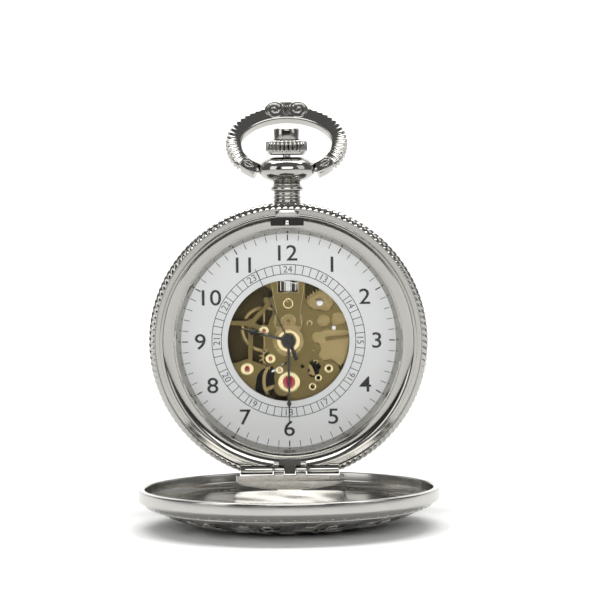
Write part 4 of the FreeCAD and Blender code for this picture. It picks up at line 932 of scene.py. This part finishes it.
def cover_shell():
    rim, inner = cover_high.z, case_radius - 1.1
    outside = [(medallion * i / 4, 0.0) for i in range(5)]
    outside += dome_points(44, 45)
    wall = rounded([(case_radius - 0.2, dome_foot), (case_radius, 4.5), (case_radius, rim), (inner, rim),
                    (inner, rim - 1.45), (inner - 0.5, rim - 2.1)], [0, 0.12, 0.22, 0.22, 0.25, 0], 4)[1:]
    dish_radius, floor = inner - 1.8, 1.0
    rise = rim - 2.8 - floor
    sphere = (dish_radius ** 2 + rise ** 2) / (2 * rise)
    places = [dish_radius * i / 30 for i in range(30, -1, -1)]
    inside = [(r, floor + sphere - math.sqrt(sphere ** 2 - r ** 2)) for r in places]
    bm = profile_mesh(outside + wall + inside, 360, close=False)
    for vert in bm.verts:
        radius, turn = vert.co.xy.length, math.atan2(vert.co.y, vert.co.x)
        if vert.co.z < dome_height(radius) + 0.01 and radius < case_radius - 0.3:
            vert.co.z += relief(radius, turn)
        elif radius < dish_radius + 0.1 and vert.co.z > dome_height(radius) + 0.2:
            vert.co.z += 0.6 * relief(radius, turn) - 0.06
    bmesh.ops.recalc_face_normals(bm, faces=bm.faces)
    return bm


def cover_blank():
    """The cover's outside as a solid, to trim the hinge wall."""
    outside = [(0, 0.3), (medallion, 0.3)] + dome_points(20, 20, 0.3)
    edge = case_radius - 0.3
    bm = profile_mesh(outside + [(edge, 4.6), (edge, cover_high.z), (0, cover_high.z)], 128, close=False)
    bmesh.ops.recalc_face_normals(bm, faces=bm.faces)
    return bm


seat_half = -notch_low.x + 0.1
wall_box = boxes((-25, 25, 20.5, chord_y + 1, 1.0, cover_high.z - 0.5))
hinge_wall = combine(cover_blank(), wall_box, "INTERSECT")
shell = combine(cover_shell(), hinge_wall, "UNION")
shell = cut_boxes(shell, (-25, 25, chord_y, 30, -1, 10),
                  (-seat_half, seat_half, 20.65, 30, cover_high.z - 0.5, 10))
print("cover shell:", len(shell.faces), "faces")

# %% Cover scrolls and finish
def on_dome(radius, turn, lift=0.05):
    return (radius * math.cos(turn), radius * math.sin(turn), dome_height(radius) + lift)


def scroll(bm, middle, start, size, way, wire=0.2):
    """One leafy curl on the dome: a spiral about a point at a radius, drawn on the surface."""
    points = []
    for i in range(15):
        share = i / 14
        angle = start + way * math.radians(20 + 430 * share)
        reach = size * (1 - 0.86 * share)
        radius = middle[0] + reach * math.cos(angle)
        points.append(on_dome(radius, middle[1] + reach * math.sin(angle) / middle[0]))
    add_wire(bm, points, wire, resolution=2, taper=True)


scrolls = bmesh.new()
for petal in range(petals):
    turn = math.tau * (petal + 0.5) / petals
    if abs(math.degrees(turn) - 90) < 12:
        continue
    scroll(scrolls, (18.4, turn + 0.11), 0.6, 2.0, 1)
    scroll(scrolls, (18.4, turn - 0.11), -0.6, 2.0, -1)
    scroll(scrolls, (13.0, turn + 0.26), math.pi - 0.5, 1.9, -1, 0.17)
    scroll(scrolls, (13.0, turn + 0.26), math.pi + 0.5, 1.9, 1, 0.17)
    stalk = [on_dome(9.4 + 11.4 * i / 8, turn + 0.10 * math.sin(math.pi * i / 4)) for i in range(9)]
    add_wire(scrolls, stalk, 0.22, resolution=2, taper=True)
    for bud in (-0.14, 0.0, 0.14):
        leaf = [on_dome(15.6 + 2.4 * i / 4, turn + bud * i / 4) for i in range(5)]
        add_wire(scrolls, leaf, 0.24, resolution=2, taper=True)
inner_ring = [on_dome(9.0, math.tau * i / 48) for i in range(48)]
add_wire(scrolls, inner_ring, 0.16, cyclic=True, resolution=2)
outer_ring = [on_dome(21.35, math.radians(98 + 344 * i / 60)) for i in range(61)]
add_wire(scrolls, outer_ring, 0.18, resolution=2)
for bead_index in range(72):
    turn = math.radians(100 + 340 * bead_index / 71)
    made = bmesh.ops.create_icosphere(scrolls, subdivisions=1, radius=0.26)["verts"]
    bmesh.ops.translate(scrolls, verts=made, vec=on_dome(22.05, turn, 0.08))

# The pressed-in ground between the scrolls is coloured near black with a fine speckle, more so where it is
# pressed in deeper.
cover_ground_finish = metal("cover_steel_dark_ground", (0.50, 0.49, 0.465), 0.12, 0.08, 0.1)
tree = cover_ground_finish.node_tree
place = node(tree, "ShaderNodeTexCoord").outputs["Object"]
turned_in = node(tree, "ShaderNodeAttribute", attribute_name="ground").outputs["Fac"]
speckle = node(tree, "ShaderNodeTexNoise", {"Vector": place, "Scale": 2200.0, "Detail": 3.0}).outputs["Fac"]
share = node(tree, "ShaderNodeMath", {0: turned_in, 1: speckle}, operation="MULTIPLY").outputs["Value"]
darkness = node(tree, "ShaderNodeMapRange",
                {"Value": share, "From Min": 0.1, "From Max": 0.42}).outputs["Result"]
tint = node(tree, "ShaderNodeMix", {"Factor": darkness}, data_type="RGBA")
tint.inputs["A"].default_value = (0.50, 0.49, 0.465, 1)
tint.inputs["B"].default_value = (0.035, 0.034, 0.032, 1)
tree.links.new(tint.outputs["Result"], tree.nodes["Principled BSDF"].inputs["Base Color"])

cover_piece = finish_piece("cover_shell", shell, cover_ground_finish, "front_cover",
                           ["front_cover"], place=millimetres, sharp=35.0, closed=False)
depth = cover_piece.data.attributes.new("ground", "FLOAT", "POINT")
for i, vert in enumerate(cover_piece.data.vertices):
    spot = vert.co / MM
    radius, turn = spot.xy.length, math.atan2(spot.y, spot.x)
    outside = spot.z < dome_height(min(radius, case_radius - 0.3)) + 0.3
    depth.data[i].value = min(1.0, relief(radius, turn) / 0.12) if outside else 0.0
scroll_piece = finish_piece("cover_scrolls", scrolls, case_steel, "front_cover",
                            place=millimetres, sharp=60.0)
print("scroll triangles", sum(len(p.vertices) - 2 for p in scroll_piece.data.polygons))

# %% [markdown]
# Jewels are the bearings of the train: rings of red synthetic ruby, each with a dished oil
# cup round its hole. Several sit in a chaton, a bright gold collar pressed into the plate.
# Small bright eyelets line the screw holes. All of these are turned, so they share one
# profile tool, and each is placed on the centre that the CAD stone or hole has.

# %% Jewels and chatons
ruby = bpy.data.materials.new("ruby")
ruby.use_nodes = True
stone = ruby.node_tree.nodes["Principled BSDF"]
for key, value in (("Base Color", (0.42, 0.02, 0.045, 1)), ("Roughness", 0.06), ("IOR", 1.76),
                   ("Coat Weight", 0.6), ("Subsurface Weight", 0.15), ("Subsurface Scale", 0.0004)):
    stone.inputs[key].default_value = value


def islands(node_name):
    """The middle, radius and height range of each separate solid of a node."""
    bm = node_mesh(node_name)
    left, found = set(bm.verts), []
    while left:
        group, edge_front = set(), [left.pop()]
        while edge_front:
            vert = edge_front.pop()
            group.add(vert)
            for edge in vert.link_edges:
                other = edge.other_vert(vert)
                if other in left:
                    left.remove(other)
                    edge_front.append(other)
        lows = [min(v.co[i] for v in group) for i in range(3)]
        highs = [max(v.co[i] for v in group) for i in range(3)]
        found.append(((lows[0] + highs[0]) / 2, (lows[1] + highs[1]) / 2, (highs[0] - lows[0]) / 2,
                      lows[2], highs[2]))
    bm.free()
    return sorted(found)


def dished_stone(bm, x, y, radius, low, high, up):
    """A stone whose oil cup is on its upper side, or on its lower one."""
    face, back = (high, low) if up else (low, high)
    hole, sink = 0.16, 0.12 if up else -0.12
    cup = [(hole, face - sink), (hole + 0.1, face - sink), (radius * 0.55, face),
           (radius - 0.06, face), (radius, face - sink / 2)]
    turn_profile(bm, cup + [(radius, back), (hole, back)], 40, centre=(x, y, 0))


def collar(bm, x, y, inner, outer, base, height=0.06, steps=48):
    """A bright ring with a rounded top."""
    profile = rounded([(inner, base - 0.1), (outer, base - 0.1), (outer, base + height),
                       (inner, base + height)], [0, 0, 0.05, 0.05], 3)
    turn_profile(bm, profile, steps, centre=(x, y, 0))


plate_front = flat_box("main_plate")[0].z + 1.0
plate_stones, bridge_stones = islands("plate_jewels"), islands("bridge_jewels")
for node_name, found, up in (("plate_jewels", plate_stones, True),
                             ("bridge_jewels", bridge_stones, False)):
    stones = bmesh.new()
    for stone_place in found:
        dished_stone(stones, *stone_place, up)
    finish_piece(node_name + "_dished", stones, ruby, "case", [node_name])
collars = bmesh.new()
for x, y, radius, low, high in plate_stones:
    shown_share, spread = (0.7, 0.36) if radius > 1 else (0.5, 0.2)
    collar(collars, x, y, radius * shown_share, radius + spread, plate_front)
for x, y, outer in ((6.8, -4.9, 0.76), (5.0, -6.5, 0.62), (4.0, -8.0, 0.66), (3.6, 2.9, 0.5)):
    collar(collars, x, y, 0.35, outer, plate_front)
finish_piece("chatons", collars, gilt_edge, "case")
print("stones:", len(plate_stones), "in the plate,", len(bridge_stones), "in the bridges")

# %% [markdown]
# The window also shows small steel and gilt parts over the plate: a screw and its washer at
# the setting wheel, the ring of the hour wheel round the hands, and the wire clip over the
# winding pinion. They are what gives the movement its depth.

# %% Small movement parts
def slotted_screw(bm, x, y, radius, base, height=0.14, angle=20.0):
    """A domed screw head, with its slot cut right across."""
    profile = rounded([(0, base), (radius, base), (radius, base + height), (0, base + height)],
                      [0, 0, 0.05, 0], 3)
    half, low = radius * 0.13, base + height * 0.4
    head = cut_boxes(profile_mesh(profile, 40, close=False),
                     (-radius - 1, radius + 1, -half, half, low, base + height + 1))
    bmesh.ops.rotate(head, verts=head.verts, matrix=Matrix.Rotation(math.radians(angle), 3, "Z"))
    bmesh.ops.translate(head, verts=head.verts, vec=(x, y, 0))
    made = bpy.data.meshes.new("head")
    head.to_mesh(made)
    head.free()
    bm.from_mesh(made)
    bpy.data.meshes.remove(made)


bridge_face = flat_box("setting_bridge")[1].z
screws = bmesh.new()
slotted_screw(screws, 5.35, 6.35, 0.55, plate_front)
finish_piece("plate_screws", screws, bright_steel, "case", closed=False)
setting_collar = bmesh.new()
collar(setting_collar, 0, 6.35, 0.66, 0.88, bridge_face - 0.02)
finish_piece("setting_eyelet", setting_collar, gilt_edge, "case")
hour_ring = bmesh.new()
hour_wheel_front = -3.3
collar(hour_ring, 0, 0, 1.3, 1.95, hour_wheel_front, 0.05, 72)
finish_piece("hour_ring", hour_ring, gilt_edge, "hour")
for node_name, finish in (("setting_spring", bright_steel), ("catch", satin_steel)):
    softened(node_name, finish, nodes[node_name]["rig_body"], 0.05)

# %% [markdown]
# The bridges lie deep behind the plate, so their gilt is painted darker as painted shade,
# and their back edges are bevelled. The screws that hold them have slots.

# %% Bridges behind the plate
for node_name in ("train_bridge", "balance_cock", "barrel_bridge"):
    # The bridges' faces take the gilt with painted shade, and their back bevels plain gilt.
    two_tone(node_name, 0.12, 0, [gilt_painted_shade, gilt])
back_screws = bmesh.new()
for x, y, radius, low, high in islands("bridge_screws"):
    slotted_screw(back_screws, x, y, radius, -high, high - low + 0.02, angle=35.0 + 50 * x)
bmesh.ops.scale(back_screws, verts=back_screws.verts, vec=(1, 1, -1))
bmesh.ops.reverse_faces(back_screws, faces=back_screws.faces)
finish_piece("back_screws", back_screws, bright_steel, "case", ["bridge_screws"], closed=False)

# %% [markdown]
# The back bezel is snapped on like the front one and holds the solid back. The catch works
# in a blackened bracket with a bright post in the middle, and the hinge's knuckles are
# soldered to the case and to the cover.

# %% Back, catch bracket and hinge
def back_ring():
    low, high = flat_box("back_bezel")
    window, panel = 17.0, 18.2
    dome = [(19.4 + 2.9 * math.sin(a), low.z + 1.4 * (1 - math.cos(a))) for a in quarter(10)]
    profile = [(window, low.z + 0.3), (window + 0.1, low.z + 0.06), (window + 0.25, low.z)] + dome
    profile += [(high.x - 0.35, high.z - 0.55), (high.x - 0.05, high.z - 0.38),
                (high.x, high.z - 0.3), (high.x, high.z), (20.2, high.z), (20.2, low.z + 0.9),
                (panel, low.z + 0.9), (panel, low.z + 0.3)]
    return profile_mesh(profile)


def back_disc():
    """The polished back, with three fine turned lines, and its inside painted near black as painted shade.
    """
    low, high = flat_box("back_panel")
    profile = [(0, low.z)]
    for line in (12.6, 15.4, 16.1):
        profile += [(line - 0.12, low.z), (line, low.z + 0.08), (line + 0.12, low.z)]
    profile += [(high.x - 0.05, low.z), (high.x, low.z + 0.05), (high.x, high.z), (0, high.z)]
    bm = profile_mesh(profile, 192, close=False)
    for face in bm.faces:
        # Faces on the inside of the back take the second finish, painted near black as painted shade.
        face.material_index = int(all(vert.co.z > high.z - 0.02 for vert in face.verts))
    return bm


finish_piece("back_bezel_ring", back_ring(), case_steel, "case", ["back_bezel"])
finish_piece("back_panel_disc", back_disc(), [case_steel, blackening_and_painted_shade], "case",
             ["back_panel"])
softened("case_hinge_knuckles", case_steel, "case", 0.06)
softened("cover_hinge_knuckles", case_steel, "front_cover", 0.06)
softened("lift_spring", spring_steel, "case", 0.05)
softened("catch_bracket", blackening_and_painted_shade, "case", 0.06)
post = boxes((-0.3, 0.3, bracket_low.y + 0.15, bracket_high.y - 0.45, bracket_low.z + 0.21,
              bracket_high.z + 0.02))
break_edges(post, 0.08)
finish_piece("catch_post", post, bright_steel, "case")
print("back bezel", [round(c, 2) for c in flat_box("back_bezel")[1]])

# %% [markdown]
# Every CAD node that is still shown keeps its shape and gets one of the finishes by its own
# material slot in the record, so nothing is left plain.

# %% Finishes for the CAD nodes
slot_finish = {"polished_steel": case_steel, "dark_steel": spring_steel, "steel": bright_steel,
               "gilt_plate": gilt, "brass": wheel_brass, "ruby": ruby, "glass": crystal_glass,
               "dial_white": enamel, "hand_black": hand_black, "white_metal": satin_steel}
shown = 0
for row in frame["record"]["subparts"]:
    piece = nodes[row["node"]]
    if piece.hide_render:
        continue
    shown += 1
    piece.data.materials.clear()
    piece.data.materials.append(slot_finish[row["material_slot"]])
print("CAD nodes shown as they are:", shown)
